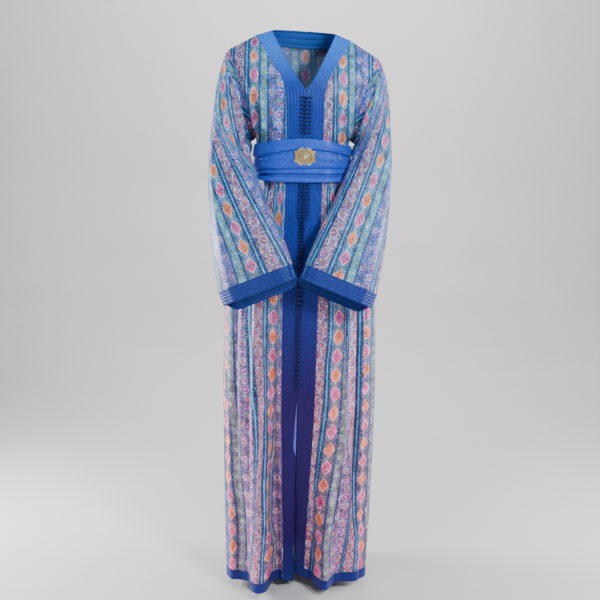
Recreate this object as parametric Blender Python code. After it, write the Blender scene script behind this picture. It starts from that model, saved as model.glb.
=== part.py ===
"""A long-sleeved Moroccan caftan, hanging as it is worn, with its cloth belt and brooch.

Metres, +Z up, the front of the garment towards -Y. The origin is between the two
points where the neckline crosses the shoulder seams. Left and right are the wearer's,
so the right side is at -X. Every cloth piece is a wall: a surface worked out from the
tables below is its inner face, and the outer face lies one thickness outside it.
"""
import math

import bpy
import numpy as np


def table(columns, *rows):
    """Rows of numbers as one array for each named column."""
    return dict(zip(columns.split(), np.array(rows, float).T))


# Cloth, seams and trimmings
CLOTH = 0.0020              # wall of the printed cloth and of the plain blue cloth
SEAM = 0.0003               # gap between two pieces that are sewn together
HEM_Z = -1.487              # lowest edge of the skirt, below the shoulder
HEM_BAND = 0.028            # height of the blue band round the hem
HEM_RAISE = 0.0006          # how far it stands proud of the printed cloth
WAIST_Z = -0.325            # seam that joins skirt and bodice, under the belt
CORNER_DROP = 0.020         # how far the right front's slit corner hangs below the hem
TUCK = 0.0009               # height of one pin-tuck
BAND_TUCKS = 6              # pin-tucks across each front band
CUFF_TUCKS = 5              # pin-tucks round each cuff
NECK_TUCKS = 3              # pin-tucks round the back of the neck
CUFF_HEIGHT = 0.038
BACK_LAG = 0.022            # how much lower than its front the back of a sleeve ends
GATHER = 0.0010             # relief of the small gathers beside the belt
FRONT_GATHERS = 6
BACK_GATHERS = 9

# Shoulder, neck and armhole
TIP_X, TIP_Z = 0.192, -0.055            # end of the shoulder seam
UNDERARM_X, UNDERARM_Z = 0.1205, -0.270
ARMHOLE_DEPTH = 0.050                   # front to back, from the shoulder seam's line
NECK_X, NECK_Y, NECK_RISE = 0.080, 0.058, 0.004     # inner edge of the neck band
YOKE_X, YOKE_Y, YOKE_Z = 0.120, 0.080, -0.014       # outer edge of the neck band
YOKE_DROP = 0.026                       # how much lower the band's edge is at the back
NAPE_NORMAL = (0.0, 0.93, 0.33)         # which way the neck band faces at the back
BACK_HOLLOW = 0.032                     # keeps the back from rounding out between armholes
SHOULDER_TILT = 0.050                   # the left shoulder is held a little lower

# Belt and brooch
BELT_TOP, BELT_BOTTOM = -0.287, -0.371  # at the sides and back
BELT_ARCH = 0.027                       # how much its top edge rises at the front
ARCH_SHARPNESS = 1.5                    # more gathers the rise nearer the centre
BELT_CLEAR = 0.0020                     # room over the cloth's gathers
BELT_CLOTH = 0.0026
BELT_PLEAT = 0.0014
BELT_LEVEL = -0.33          # the body's section here is the belt's
BAND_WAY = 0.28             # share of the way from centre front to side that is the band
# The belt's rows from its bottom edge: where each pleat's edge runs, raised or not
BELT_PLEATS = table("share raised", (0.0, 0.0), (0.02, 0.6), (0.17, 1.0), (0.19, 0.0),
                    (0.30, 0.9), (0.32, 0.1), (0.74, 1.0), (0.76, 0.0), (0.98, 0.8), (1.0, 0.0))
BROOCH_Z = -0.3050
BROOCH_RADIUS = 0.0252
LUG_X, LUG_Z = 0.0265, 0.0142           # squared lugs to the left and right of the disc
# The brooch from its back: share of the radius, height, and 1 where it has the lugs
BROOCH_PROFILE = (
    (0.96, 0.0000, 1), (1.00, 0.0010, 1), (0.95, 0.0022, 1), (0.80, 0.0022, 0),
    (0.76, 0.0034, 0), (0.66, 0.0034, 0), (0.62, 0.0024, 0), (0.46, 0.0026, 0),
    (0.42, 0.0042, 0), (0.33, 0.0042, 0), (0.29, 0.0032, 0),
)
BROOCH_SIDES = 28
STONE_RADIUS = 0.0042
STONE_PROFILE = ((0.85, 0.0), (1.0, 0.0012), (0.75, 0.0027), (0.3, 0.0033))
STONE_SIDES = 12

# Knot buttons
KNOT_RADIUS, KNOT_NECK, KNOT_END = 0.0040, 0.0022, 0.0013
KNOT_SIDES = 6
BODICE_KNOTS = table("height pitch", (-0.250, 0.0097), (-0.158, 0.0097))
SKIRT_KNOTS = table("height pitch", (-0.914, 0.0118), (-0.645, 0.0118),
                    (-0.620, 0.0088), (-0.379, 0.0082))

# The body at several heights: half width at the side seams, depth of the front and
# back from them, and half the width of the closed front bands, as seen from the front
BODY = table(
    "height  side   front  back   band_r band_l",
    (-1.487, 0.190, 0.130, 0.150, 0.030, 0.030),
    (-1.350, 0.195, 0.133, 0.149, 0.032, 0.034),
    (-1.210, 0.200, 0.136, 0.147, 0.036, 0.038),
    (-0.950, 0.206, 0.137, 0.143, 0.042, 0.046),
    (-0.680, 0.200, 0.130, 0.132, 0.045, 0.047),
    (-0.550, 0.170, 0.118, 0.120, 0.046, 0.047),
    (-0.434, 0.134, 0.110, 0.104, 0.046, 0.047),
    (-0.371, 0.119, 0.106, 0.093, 0.046, 0.047),
    (-0.288, 0.119, 0.106, 0.093, 0.046, 0.047),
    (-0.270, 0.1205, 0.1065, 0.094, 0.046, 0.047),
)
# The slit edges of the bands lie deeper than the bands' outer edges towards the hem
SLIT = table(
    "height  inset",
    (-1.487, 0.030), (-1.350, 0.024), (-1.200, 0.014), (-0.950, 0.001),
    (-0.680, -0.004), (-0.270, -0.004),
)
# The front bands above the belt, by share of the way up the armhole: the edge along
# the centre front and the neck, and the edge that is sewn to the panel
NECKLINE = table(
    "rise  edge_x  edge_y  edge_z  sewn_x  sewn_y  sewn_z",
    (0.00, 0.000, -0.1105, -0.270, 0.0465, -0.1065, -0.270),
    (0.20, 0.000, -0.1125, -0.235, 0.0470, -0.1090, -0.235),
    (0.40, 0.000, -0.1100, -0.178, 0.0475, -0.1070, -0.178),
    (0.50, 0.000, -0.105, -0.147, 0.0500, -0.101, -0.147),
    (0.62, 0.020, -0.093, -0.112, 0.0590, -0.090, -0.115),
    (0.74, 0.037, -0.077, -0.083, 0.0760, -0.072, -0.084),
    (0.88, 0.061, -0.045, -0.040, 0.1030, -0.038, -0.043),
    (1.00, 0.080, 0.000, -0.002, 0.1200, 0.000, -0.014),
)
# Folds of the skirt, from the band (place 0) or the centre back (0) to the side seam
# (1): how far each stands out (+) or in (-) at the hem, and the height where it starts
RIGHT_FOLDS = table(
    "place out     start",
    (0.00, -0.052, -0.80), (0.07, -0.058, -0.75), (0.24, 0.040, -0.85),
    (0.36, 0.012, -1.00), (0.47, -0.010, -0.60), (0.66, 0.014, -0.90),
    (0.85, 0.004, -0.60), (1.00, 0.000, -0.60),
)
LEFT_FOLDS = table(
    "place out     start",
    (0.00, -0.070, -0.85), (0.07, -0.056, -0.90), (0.20, 0.012, -0.95),
    (0.31, -0.016, -1.05), (0.45, -0.022, -0.60), (0.66, 0.008, -0.90),
    (0.85, 0.006, -0.60), (1.00, 0.000, -0.60),
)
BACK_FOLDS = table(
    "place  out    start",
    (-1.00, 0.000, -0.60), (-0.80, 0.010, -0.85), (-0.58, -0.022, -0.60),
    (-0.34, 0.028, -0.75), (-0.10, -0.026, -0.60), (0.14, 0.022, -0.80),
    (0.36, -0.024, -0.65), (0.60, 0.026, -0.75), (0.82, -0.008, -0.60),
    (1.00, 0.000, -0.60),
)
# How far the centre front wanders to the left, by height
CENTRE = table("height shift", (-1.487, -0.008), (-0.90, -0.003), (-0.60, 0.001),
               (-0.45, 0.005), (-0.27, 0.008), (-0.15, 0.008), (0.0, 0.0))
CENTRE_REACH = 0.09         # the shift dies away over this distance to either side

# The left sleeve at stations from the armhole to the cuff: the fold along its outer
# side, the fold along the underarm, half its depth and its forward tilt in degrees
SLEEVE = table(
    "outer_x outer_y outer_z  inner_x inner_y inner_z  depth  tilt",
    (0.1920, 0.000, -0.055, 0.1205, 0.000, -0.270, 0.050, 0),
    (0.2120, -0.004, -0.103, 0.1410, -0.012, -0.282, 0.056, 1),
    (0.2240, -0.016, -0.180, 0.1430, -0.040, -0.304, 0.056, 3),
    (0.2270, -0.052, -0.300, 0.1220, -0.106, -0.350, 0.049, 6),
    (0.2240, -0.090, -0.400, 0.0930, -0.152, -0.413, 0.045, 8),
    (0.2180, -0.120, -0.495, 0.0580, -0.184, -0.480, 0.042, 10),
    (0.2090, -0.142, -0.575, 0.0340, -0.204, -0.528, 0.038, 12),
    (0.1970, -0.160, -0.648, 0.0200, -0.214, -0.564, 0.034, 14),
)
SLEEVE_SHIFT = -0.006       # both cuffs are carried a little to the right
SLEEVE_FULLNESS = 3.2       # 2 is an ellipse, more is a flatter front
SLEEVE_GAP = 1.2 * SEAM     # between a sleeve and the armhole it is sewn to
UNDERARM_GAP = 1.5 * CLOTH  # and how much more where the cloth folds under the arm

SKIRT_HEIGHT = UNDERARM_Z - HEM_Z
HEM_SHARE = HEM_BAND / SKIRT_HEIGHT     # the hem band's share of it
WAIST_SHARE = (WAIST_Z - HEM_Z) / SKIRT_HEIGHT
ARMHOLE_HEIGHT = TIP_Z - UNDERARM_Z

# How finely each piece is cut up
SKIRT_STEPS = (0.07, 0.16, 0.26, 0.36, 0.47, 0.58, 0.69, 0.79, 0.865, 0.917)
WAIST_STEP = 0.985                      # a row between the waist seam and the underarm
BODICE_ROWS = 9
FRONT_COLUMNS, BACK_COLUMNS = 24, 36
SLEEVE_ROWS = 12
SLEEVE_COLUMNS = 2 * BODICE_ROWS        # so that they meet the rows of the armhole
ROW_STEP = 0.004                        # step that a surface's slope is measured over
TOP_LEVEL = 2 - 1.25 * ROW_STEP         # the highest place where a panel's slope is taken
BELT_COLUMNS = 32

PRINTED = ("printed_crepe", (0.42, 0.40, 0.62), 0.55, 0.0)
BLUE = ("blue_crepe", (0.03, 0.13, 0.62), 0.50, 0.0)
CORD = ("blue_cord", (0.02, 0.06, 0.32), 0.60, 0.0)
GILT = ("gilt_metal", (0.66, 0.52, 0.24), 0.32, 1.0)
STONE = ("brooch_crystal", (0.85, 0.88, 0.90), 0.10, 0.0)


# ---------------------------------------------------------------- curves and surfaces

def follow(rows, key, wanted, at):
    """A column of a table, smoothly between its rows and never past them."""
    x = rows[key]
    y = rows[wanted]
    steep = np.diff(y) / np.diff(x)
    before, after = steep[:-1], steep[1:]
    same_way = before * after > 0
    middle = np.where(same_way, 2 * before * after / np.where(same_way, before + after, 1), 0)
    slope = np.concatenate([steep[:1], middle, steep[-1:]])
    at = np.clip(np.asarray(at, float), x[0], x[-1])
    i = np.clip(np.searchsorted(x, at, side="right") - 1, 0, len(x) - 2)
    gap = x[i + 1] - x[i]
    t = (at - x[i]) / gap
    near = (1 + 2 * t) * (1 - t) ** 2 * y[i] + t * (1 - t) ** 2 * gap * slope[i]
    far = t * t * (3 - 2 * t) * y[i + 1] + t * t * (t - 1) * gap * slope[i + 1]
    return near + far


def ease(low, high, value):
    """0 below low, 1 above high, and smooth between."""
    t = np.clip((value - low) / (high - low), 0.0, 1.0)
    return t * t * (3 - 2 * t)


def join(*parts):
    """Coordinates as points."""
    return np.stack(np.broadcast_arrays(*parts), axis=-1)


def settle(points):
    """The hang of the whole garment: a wandering centre front and tilted shoulders."""
    x, y, z = np.moveaxis(np.asarray(points, float), -1, 0)
    shift = follow(CENTRE, "height", "shift", z) * np.exp(-(x / CENTRE_REACH) ** 2)
    return join(x + shift, y, z - SHOULDER_TILT * x * ease(-0.38, -0.05, z))


def fold_out(folds, place, z):
    """How far the skirt stands out at a place round it, growing towards the hem."""
    growth = [ease(0.0, 1.0, (start - z) / (start - HEM_Z)) for start in folds["start"]]
    out = 0.0
    for k, spot in enumerate(folds["place"]):
        one = {"place": folds["place"], "out": np.where(folds["place"] == spot,
                                                       folds["out"][k], 0.0)}
        out = out + follow(one, "place", "out", place) * growth[k]
    return out


def armhole(turn, face):
    """The armhole of the left side, from the underarm (0) to the shoulder tip (1)."""
    angle = math.pi * (1 - turn)
    middle = (TIP_Z + UNDERARM_Z) / 2
    z = middle + (TIP_Z - UNDERARM_Z) / 2 * np.cos(angle)
    share = (z - UNDERARM_Z) / (TIP_Z - UNDERARM_Z)
    x = UNDERARM_X + (TIP_X - UNDERARM_X) * (0.80 * share + 0.20 * share ** 3)
    return join(x, face * ARMHOLE_DEPTH * np.sin(angle), z)


def armhole_normal(turn, face):
    """Square to the seam of the left armhole: sideways at the underarm, up at the tip."""
    angle = math.pi * (1 - turn)
    tip = shoulder_normal(1)
    grown = ease(0.0, 0.5, turn)
    normal = join(1 + (tip[0] - 1) * grown, tip[2] * grown * face * np.sin(angle),
                  tip[2] * grown * np.cos(angle))
    return normal / np.linalg.norm(normal, axis=-1, keepdims=True)


def skirt_front(across, z, side):
    """Below the armhole: across is -1 at the slit, 0 at the band's seam, 1 at the side."""
    band = follow(BODY, "height", "band_l" if side > 0 else "band_r", z)
    wide = follow(BODY, "height", "side", z)
    deep = follow(BODY, "height", "front", z)
    folds = LEFT_FOLDS if side > 0 else RIGHT_FOLDS
    turn = np.clip(across, 0, 1) * math.pi / 2
    out = fold_out(folds, np.clip(across, 0, 1), z)
    x = band + (wide - band) * np.sin(turn) + out * np.sin(turn)
    y = -deep * np.cos(turn) - out * np.cos(turn)
    on_band = np.clip(-across, 0, 1)
    x = x - band * on_band
    y = y + follow(SLIT, "height", "inset", z) * on_band
    return join(side * x, y, z)


def skirt_back(across, z):
    """The back below the armhole, across from the right side (-1) to the left (1)."""
    wide = follow(BODY, "height", "side", z)
    deep = follow(BODY, "height", "back", z)
    turn = across * math.pi / 2
    out = fold_out(BACK_FOLDS, across, z)
    return join((wide + out) * np.sin(turn), (deep + out) * np.cos(turn), z)


def patch(bottom, top, near, far, u, v, corners):
    """A surface through four edges, with u across and v up."""
    u = u[..., None]
    v = v[..., None]
    c00, c10, c01, c11 = corners
    ruled = (1 - v) * bottom + v * top + (1 - u) * near + u * far
    return ruled - ((1 - u) * (1 - v) * c00 + u * (1 - v) * c10
                    + (1 - u) * v * c01 + u * v * c11)


def band_edge(which, rise):
    """One edge of the left front band above the belt."""
    x, y, z = (follow(NECKLINE, "rise", f"{which}_{axis}", rise) for axis in "xyz")
    return join(np.maximum(x, 0.0), y, z)


def bodice_front(across, rise, side):
    """Above the belt: across as in skirt_front, rise 0 at the underarm, 1 at the shoulder."""
    flip = np.array([side, 1.0, 1.0])
    u = np.clip(across, 0, 1)
    start = skirt_front(u, np.full_like(u, UNDERARM_Z), side) * flip
    seam = np.array([YOKE_X, 0, YOKE_Z])
    tip = np.array([TIP_X, 0, TIP_Z])
    top = seam + (tip - seam) * u[..., None]
    near = band_edge("sewn", rise)
    far = armhole(rise, -1)
    zero = np.zeros(1)
    c00 = skirt_front(zero, zero + UNDERARM_Z, side)[0] * flip
    c10 = skirt_front(zero + 1, zero + UNDERARM_Z, side)[0] * flip
    near = near + (c00 - band_edge("sewn", zero)[0]) * (1 - rise)[..., None]
    panel = patch(start, top, near, far, u, rise, (c00, c10, seam, tip))
    on_band = np.clip(-across, 0, 1)[..., None]
    return (panel + (band_edge("edge", rise) - near) * on_band) * flip


def front(across, up, side):
    """A front, from the hem (up 0) through the underarm (1) to the shoulder (2)."""
    across, up = np.broadcast_arrays(np.asarray(across, float), np.asarray(up, float))
    z = HEM_Z + (UNDERARM_Z - HEM_Z) * np.clip(up, 0, 1)
    rise = np.clip(up - 1, 0, 1)
    low = skirt_front(across, z, side)
    if side < 0:
        hang = CORNER_DROP * np.clip(across, -1, 0) * (1 - ease(0, 2 * HEM_SHARE, up))
        low = low + join(0.0, 0.0, hang)
    high = bodice_front(across, rise, side)
    return np.where((up > 1)[..., None], high, low)


def yoke(angle, inner):
    """An edge of the neck band round the back, from the left shoulder (0) to the right."""
    if inner:
        return join(NECK_X * np.cos(angle), NECK_Y * np.sin(angle),
                    NECK_RISE * np.sin(angle))
    return join(YOKE_X * np.cos(angle), YOKE_Y * np.sin(angle),
                YOKE_Z - YOKE_DROP * np.sin(angle))


NECK_COLUMNS = 22           # columns of the back that end along the neck
NECK_SHARE = NECK_COLUMNS / BACK_COLUMNS


def yoke_normal(angle):
    """Square to the seam between the neck band and the back."""
    across = np.cos(angle)[..., None]
    shoulder = shoulder_normal(1) * join(across[..., 0], 1.0 + 0 * angle, np.abs(across[..., 0]))
    normal = shoulder + np.sin(angle)[..., None] * np.array(NAPE_NORMAL)
    return normal / np.linalg.norm(normal, axis=-1, keepdims=True)


def back_top(across):
    """The top edge of the back: shoulder seam, neck, shoulder seam."""
    size = np.abs(across)
    along_neck = yoke(math.pi / 2 * (1 - np.clip(size / NECK_SHARE, 0, 1)), False)
    out = np.clip((size - NECK_SHARE) / (1 - NECK_SHARE), 0, 1)[..., None]
    seam = np.array([YOKE_X, 0, YOKE_Z])
    tip = np.array([TIP_X, 0, TIP_Z])
    edge = np.where(out > 0, seam + (tip - seam) * out, along_neck)
    return edge * join(np.where(across < 0, -1.0, 1.0), 1.0, 1.0)


def back(across, up):
    """The back, from the hem (up 0) through the underarm (1) to its top edge (2)."""
    across, up = np.broadcast_arrays(np.asarray(across, float), np.asarray(up, float))
    z = HEM_Z + (UNDERARM_Z - HEM_Z) * np.clip(up, 0, 1)
    low = skirt_back(across, z)
    rise = np.clip(up - 1, 0, 1)
    start = skirt_back(across, np.full_like(across, UNDERARM_Z))
    left = armhole(rise, 1)
    right = left * np.array([-1.0, 1.0, 1.0])
    ends = np.array([-1.0, 1.0])
    corners = [*skirt_back(ends, ends * 0 + UNDERARM_Z), *back_top(ends)]
    u = (across + 1) / 2
    high = patch(start, back_top(across), right, left, u, rise, corners)
    hollow = BACK_HOLLOW * np.sin(math.pi * rise) * np.cos(across * math.pi / 2)
    high = high - join(0.0, hollow, 0.0)
    return np.where((up > 1)[..., None], high, low)


def sleeve_frame(station):
    """Centre, outward and forward half axes of the left sleeve at a station (0 to 1)."""
    rows = dict(SLEEVE, station=np.linspace(0, 1, len(SLEEVE["tilt"])))
    outer = join(*(follow(rows, "station", f"outer_{axis}", station) for axis in "xyz"))
    inner = join(*(follow(rows, "station", f"inner_{axis}", station) for axis in "xyz"))
    wide = (outer - inner) / 2
    tilt = np.radians(follow(rows, "station", "tilt", station))
    ahead = join(0.0 * tilt, -np.cos(tilt), np.sin(tilt))
    along = wide / np.linalg.norm(wide, axis=-1, keepdims=True)
    ahead = ahead - along * np.sum(ahead * along, axis=-1, keepdims=True)
    ahead = ahead / np.linalg.norm(ahead, axis=-1, keepdims=True)
    ahead = ahead * follow(rows, "station", "depth", station)[..., None]
    return (outer + inner) / 2, wide, ahead


def sleeve(turn, station, side):
    """A sleeve: turn runs once round it from the outer fold, by the front."""
    turn, station = np.broadcast_arrays(np.asarray(turn, float), np.asarray(station, float))
    centre, wide, ahead = sleeve_frame(np.clip(station, 0, 1))
    power = 2 / (2 + (SLEEVE_FULLNESS - 2) * ease(0.15, 0.6, station))
    cosine = np.cos(turn)
    sine = np.sin(turn)
    cosine = np.sign(cosine) * np.abs(cosine) ** power
    sine = np.sign(sine) * np.abs(sine) ** power
    ring = centre + cosine[..., None] * wide + sine[..., None] * ahead
    share = np.arccos(np.clip(-np.cos(turn), -1, 1)) / math.pi
    hole = armhole(share, np.where(np.sin(turn) > 0, -1.0, 1.0))
    step = SLEEVE_GAP + UNDERARM_GAP * ease(0.45, 0.1, share)
    first, across, forth = sleeve_frame(np.zeros_like(station))
    start = first + np.cos(turn)[..., None] * across + np.sin(turn)[..., None] * forth
    eased = ease(0.35, 0.0, station)[..., None]
    ring = ring + (hole + join(step, 0.0, 0.0) - start) * eased
    fall = np.cross(ahead, wide)
    fall = fall / np.linalg.norm(fall, axis=-1, keepdims=True)
    fall = fall * np.where(fall[..., 2:] > 0, -1, 1)
    lag = BACK_LAG * ease(0.0, 0.8, -np.sin(turn)) * ease(0.7, 1.0, station)
    inward = (1 + np.cos(turn)) / 2
    ring = ring + fall * np.clip(station - 1, 0, None)[..., None]
    ring = ring + fall * join(inward * lag, lag, lag)
    ring = ring * np.array([side, 1.0, 1.0])
    return ring + join(SLEEVE_SHIFT * ease(0.1, 0.6, station), 0.0, 0.0)


def outward(surface, u, v):
    """Unit normals of a surface, whose u runs right and v up as seen from outside."""
    across = surface(u + ROW_STEP, v) - surface(u - ROW_STEP, v)
    up = surface(u, v + ROW_STEP) - surface(u, v - ROW_STEP)
    normal = np.cross(across, up)
    return normal / np.linalg.norm(normal, axis=-1, keepdims=True)


# ---------------------------------------------------------------- meshes and materials

def finish(name, kind):
    """The material of a piece."""
    found = bpy.data.materials.get(name) or bpy.data.materials.new(name)
    found.use_nodes = True
    shader = found.node_tree.nodes["Principled BSDF"]
    colour, roughness, metallic = kind
    shader.inputs["Base Color"].default_value = (*colour, 1.0)
    shader.inputs["Roughness"].default_value = roughness
    shader.inputs["Metallic"].default_value = metallic
    return found


def add_object(name, points, faces, material):
    """One closed piece, turned to face outwards."""
    points = np.asarray(points, float)
    volume = 0.0
    for face in faces:
        for k in range(1, len(face) - 1):
            a, b, c = points[face[0]], points[face[k]], points[face[k + 1]]
            volume += np.dot(a, np.cross(b, c))
    if volume < 0:
        faces = [face[::-1] for face in faces]
    mesh = bpy.data.meshes.new(name)
    mesh.from_pydata([tuple(p) for p in points], [], faces)
    mesh.materials.append(finish(material[0], material[1:]))
    mesh.shade_smooth()
    mesh.set_sharp_from_angle(angle=math.radians(40))
    made = bpy.data.objects.new(name, mesh)
    bpy.context.collection.objects.link(made)
    return made


def zip_edges(a, b, places_a, places_b):
    """Triangles between two runs of points, each with its places from 0 to 1."""
    faces = []
    i = j = 0
    while i < len(a) - 1 or j < len(b) - 1:
        step_a = i < len(a) - 1 and (j == len(b) - 1 or places_a[i + 1] <= places_b[j + 1])
        if step_a:
            faces.append((a[i], a[i + 1], b[j]))
            i += 1
        else:
            faces.append((a[i], b[j + 1], b[j]))
            j += 1
    return faces


def wall(name, outer, inner, places, material, closed=False):
    """A closed wall between an outer and an inner grid of points.

    places holds the outer and the inner columns' shares of the way across, which
    may differ in number. A closed wall is a tube, which runs on from its last column
    to its first, and its two faces may also differ in their number of rows.
    """
    rows, columns = outer.shape[:2]
    inner_rows, lining = inner.shape[:2]
    first_inner = rows * columns

    def outer_id(i, j):
        return i * columns + j % columns

    def inner_id(i, j):
        return first_inner + i * lining + j % lining

    faces = []
    outer_steps = columns if closed else columns - 1
    inner_steps = lining if closed else lining - 1
    for i in range(rows - 1):
        for j in range(outer_steps):
            faces.append((outer_id(i, j), outer_id(i, j + 1),
                          outer_id(i + 1, j + 1), outer_id(i + 1, j)))
    for i in range(inner_rows - 1):
        for j in range(inner_steps):
            faces.append((inner_id(i, j), inner_id(i + 1, j),
                          inner_id(i + 1, j + 1), inner_id(i, j + 1)))
    if not closed:
        for i in range(rows - 1):
            faces.append((outer_id(i, 0), outer_id(i + 1, 0),
                          inner_id(i + 1, 0), inner_id(i, 0)))
            faces.append((outer_id(i, columns - 1), inner_id(i, lining - 1),
                          inner_id(i + 1, lining - 1), outer_id(i + 1, columns - 1)))
    places_out, places_in = (list(p) + [1.0] if closed else list(p) for p in places)
    for i, k in ((0, 0), (rows - 1, inner_rows - 1)):
        rim = zip_edges([outer_id(i, j) for j in range(len(places_out))],
                        [inner_id(k, j) for j in range(len(places_in))],
                        places_out, places_in)
        faces.extend([face[::-1] for face in rim] if i == 0 else rim)
    points = np.concatenate([outer.reshape(-1, 3), inner.reshape(-1, 3)])
    return add_object(name, settle(points), faces, material)


# ---------------------------------------------------------------- the body's panels

def skirt_rows(above_hem_band):
    """How far up each row of the skirt's pieces lies: closer together beside the belt."""
    seam = SEAM / SKIRT_HEIGHT
    foot = [] if above_hem_band else [0.0]
    return np.concatenate([foot, [HEM_SHARE + seam], SKIRT_STEPS, [WAIST_SHARE - seam / 2]])


def bodice_rows():
    """How far up each row of the bodice's pieces lies, from the waist to the shoulder."""
    low = [WAIST_SHARE + SEAM / SKIRT_HEIGHT / 2, WAIST_STEP]
    return np.concatenate([low, 1 + np.linspace(0, 1, BODICE_ROWS + 1)])


def gathers(across, up, count):
    """Relief of the small gathers above and below the belt."""
    z = HEM_Z + (UNDERARM_Z - HEM_Z) * up
    near = ease(-0.62, -0.42, z) * (1 - ease(1.25, 1.6, up))
    return GATHER * near * (1 - np.cos(2 * math.pi * count * across)) / 2


def trim(start, end, rows_start, rows_end):
    """Half a seam's width as a share of the way across, at each row."""
    length = np.linalg.norm(rows_end - rows_start, axis=-1)
    return (end - start) * SEAM / 2 / np.maximum(length, 0.01)


def sheet(name, surface, start, end, rows, columns, relief, material, fixed=(None, None),
          lining=1, fix_top=None):
    """A panel of a surface between two places across, kept half a seam inside them.

    fixed may hold, for either edge, a function of how far up it is that gives the
    direction of the cloth's thickness there; fix_top is the same for the top edge.
    """
    share = np.linspace(0, 1, columns + 1)
    share_in = share[::lining]
    rows = np.asarray(rows, float)[:, None]
    level = np.clip(rows, ROW_STEP, TOP_LEVEL)
    near = surface(np.full_like(rows, start), rows)[:, 0]
    far = surface(np.full_like(rows, end), rows)[:, 0]
    inset = trim(start, end, near, far)[:, None]
    edges = []
    for place, direction in zip((start, end), fixed):
        square = outward(surface, np.full_like(rows, place), level)[:, 0]
        edges.append(square if direction is None else direction(rows[:, 0]))
    grids = []
    for across, raised in ((share, True), (share_in, False)):
        u = start + (end - start) * across[None, :]
        u = u + inset * (1 - 2 * across[None, :])
        v = np.minimum(rows, 2 - SEAM / 2 / ARMHOLE_HEIGHT) + 0 * u
        points = surface(u, v)
        normal = outward(surface, u, level + 0 * u)
        normal[:, 0], normal[:, -1] = edges
        if fix_top is not None:
            normal[-1] = fix_top(u[-1])
        if raised:
            points = points + normal * (CLOTH + relief(u, v, across[None, :]))[..., None]
        grids.append(points)
    return wall(name, grids[0], grids[1], (share, share_in), material)


def side_edge(side, face):
    """The direction of the thickness up a side seam and then round the armhole."""
    def direction(up):
        seam = join(1.0 + 0 * up, 0.0, 0.0)
        hole = armhole_normal(np.clip(up - 1, 0, 1), face)
        return np.where((up > 1)[:, None], hole, seam) * np.array([side, 1.0, 1.0])

    return direction


def ahead(up):
    """The direction of the thickness down the slit."""
    return join(0 * up, -1.0, 0.0)


def shoulder_normal(side):
    """Square to the shoulder seam, so that front and back meet face to face."""
    slope = math.atan2(YOKE_Z - TIP_Z, TIP_X - YOKE_X)
    return np.array([side * math.sin(slope), 0.0, math.cos(slope)])


def tucks(across, up, share):
    """Pin-tucks along a front band: a ridge at every other column."""
    columns = np.arange(share.shape[-1]) % 2
    return TUCK * columns[None, :] + 0 * up


def hem_relief(across, up, share):
    """The hem band's second layer of cloth."""
    return HEM_RAISE + 0 * up


def make_fronts():
    """Both halves of the front: bodice, skirt, hem band, and the band in two lengths."""
    for side, word in ((1, "left"), (-1, "right")):
        def surface(u, v, side=side):
            return front(side * u, v, side)

        def seam_up(u, side=side):
            return shoulder_normal(side)

        edge = side_edge(side, -1)
        def gathered(u, v, share):
            return gathers(np.abs(u), v, FRONT_GATHERS)

        low, high = (0.0, 1.0) if side > 0 else (-1.0, 0.0)
        fixed = (None, edge) if side > 0 else (edge, None)
        sheet(f"bodice_{word}", surface, low, high, bodice_rows(), FRONT_COLUMNS,
              gathered, PRINTED, fixed, fix_top=seam_up)
        sheet(f"skirt_{word}", surface, low, high, skirt_rows(True), FRONT_COLUMNS,
              gathered, PRINTED, fixed)
        sheet(f"hem_{word}", surface, low, high, [0.0, HEM_SHARE], FRONT_COLUMNS,
              hem_relief, BLUE, fixed)
        low, high = (-1.0, 0.0) if side > 0 else (0.0, 1.0)
        fixed = (ahead, None) if side > 0 else (None, ahead)
        sheet(f"band_{word}_upper", surface, low, high, bodice_rows(), 2 * BAND_TUCKS,
              tucks, BLUE, fixed, lining=4, fix_top=seam_up)
        sheet(f"band_{word}_lower", surface, low, high, skirt_rows(False), 2 * BAND_TUCKS,
              tucks, BLUE, fixed, lining=4)


def make_back():
    """The back of the bodice and of the skirt, and its hem band."""
    def surface(u, v):
        return back(-u, v)

    def seam_up(u):
        return yoke_normal(math.pi / 2 * (1 + np.clip(u / NECK_SHARE, -1, 1)))

    def gathered(u, v, share):
        return gathers(u, v, BACK_GATHERS)

    fixed = (side_edge(1, 1), side_edge(-1, 1))
    sheet("bodice_back", surface, -1.0, 1.0, bodice_rows(), BACK_COLUMNS,
          gathered, PRINTED, fixed, fix_top=seam_up)
    sheet("skirt_back", surface, -1.0, 1.0, skirt_rows(True), BACK_COLUMNS,
          gathered, PRINTED, fixed)
    sheet("hem_back", surface, -1.0, 1.0, [0.0, HEM_SHARE], BACK_COLUMNS,
          hem_relief, BLUE, fixed)


def make_neck_band():
    """The band round the back of the neck, from one shoulder seam to the other."""
    def surface(u, v):
        angle = math.pi * (1 - u)
        low, high = yoke(angle, False), yoke(angle, True)
        return low + (high - low) * v[..., None]

    share = np.linspace(0, 1, NECK_COLUMNS + 1)
    inset = SEAM / 2 / (math.pi * NECK_X)
    u = (inset + (1 - 2 * inset) * share)[None, :]
    v = np.linspace(SEAM / (YOKE_DROP - YOKE_Z), 1.0, 2 * NECK_TUCKS + 1)[:, None]
    u, v = np.broadcast_arrays(u, v)
    points = surface(u, v)
    normal = yoke_normal(math.pi * (1 - u))
    ridge = (np.arange(v.shape[0]) % 2)[:, None] * TUCK
    outer = points + normal * (CLOTH + ridge)[..., None]
    wall("band_neck", outer, points[:, ::2], (share, share[::2]), BLUE)


# ---------------------------------------------------------------- sleeves and cuffs

def ring_places(count):
    """Even shares of the way round."""
    return np.arange(count) / count


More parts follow.
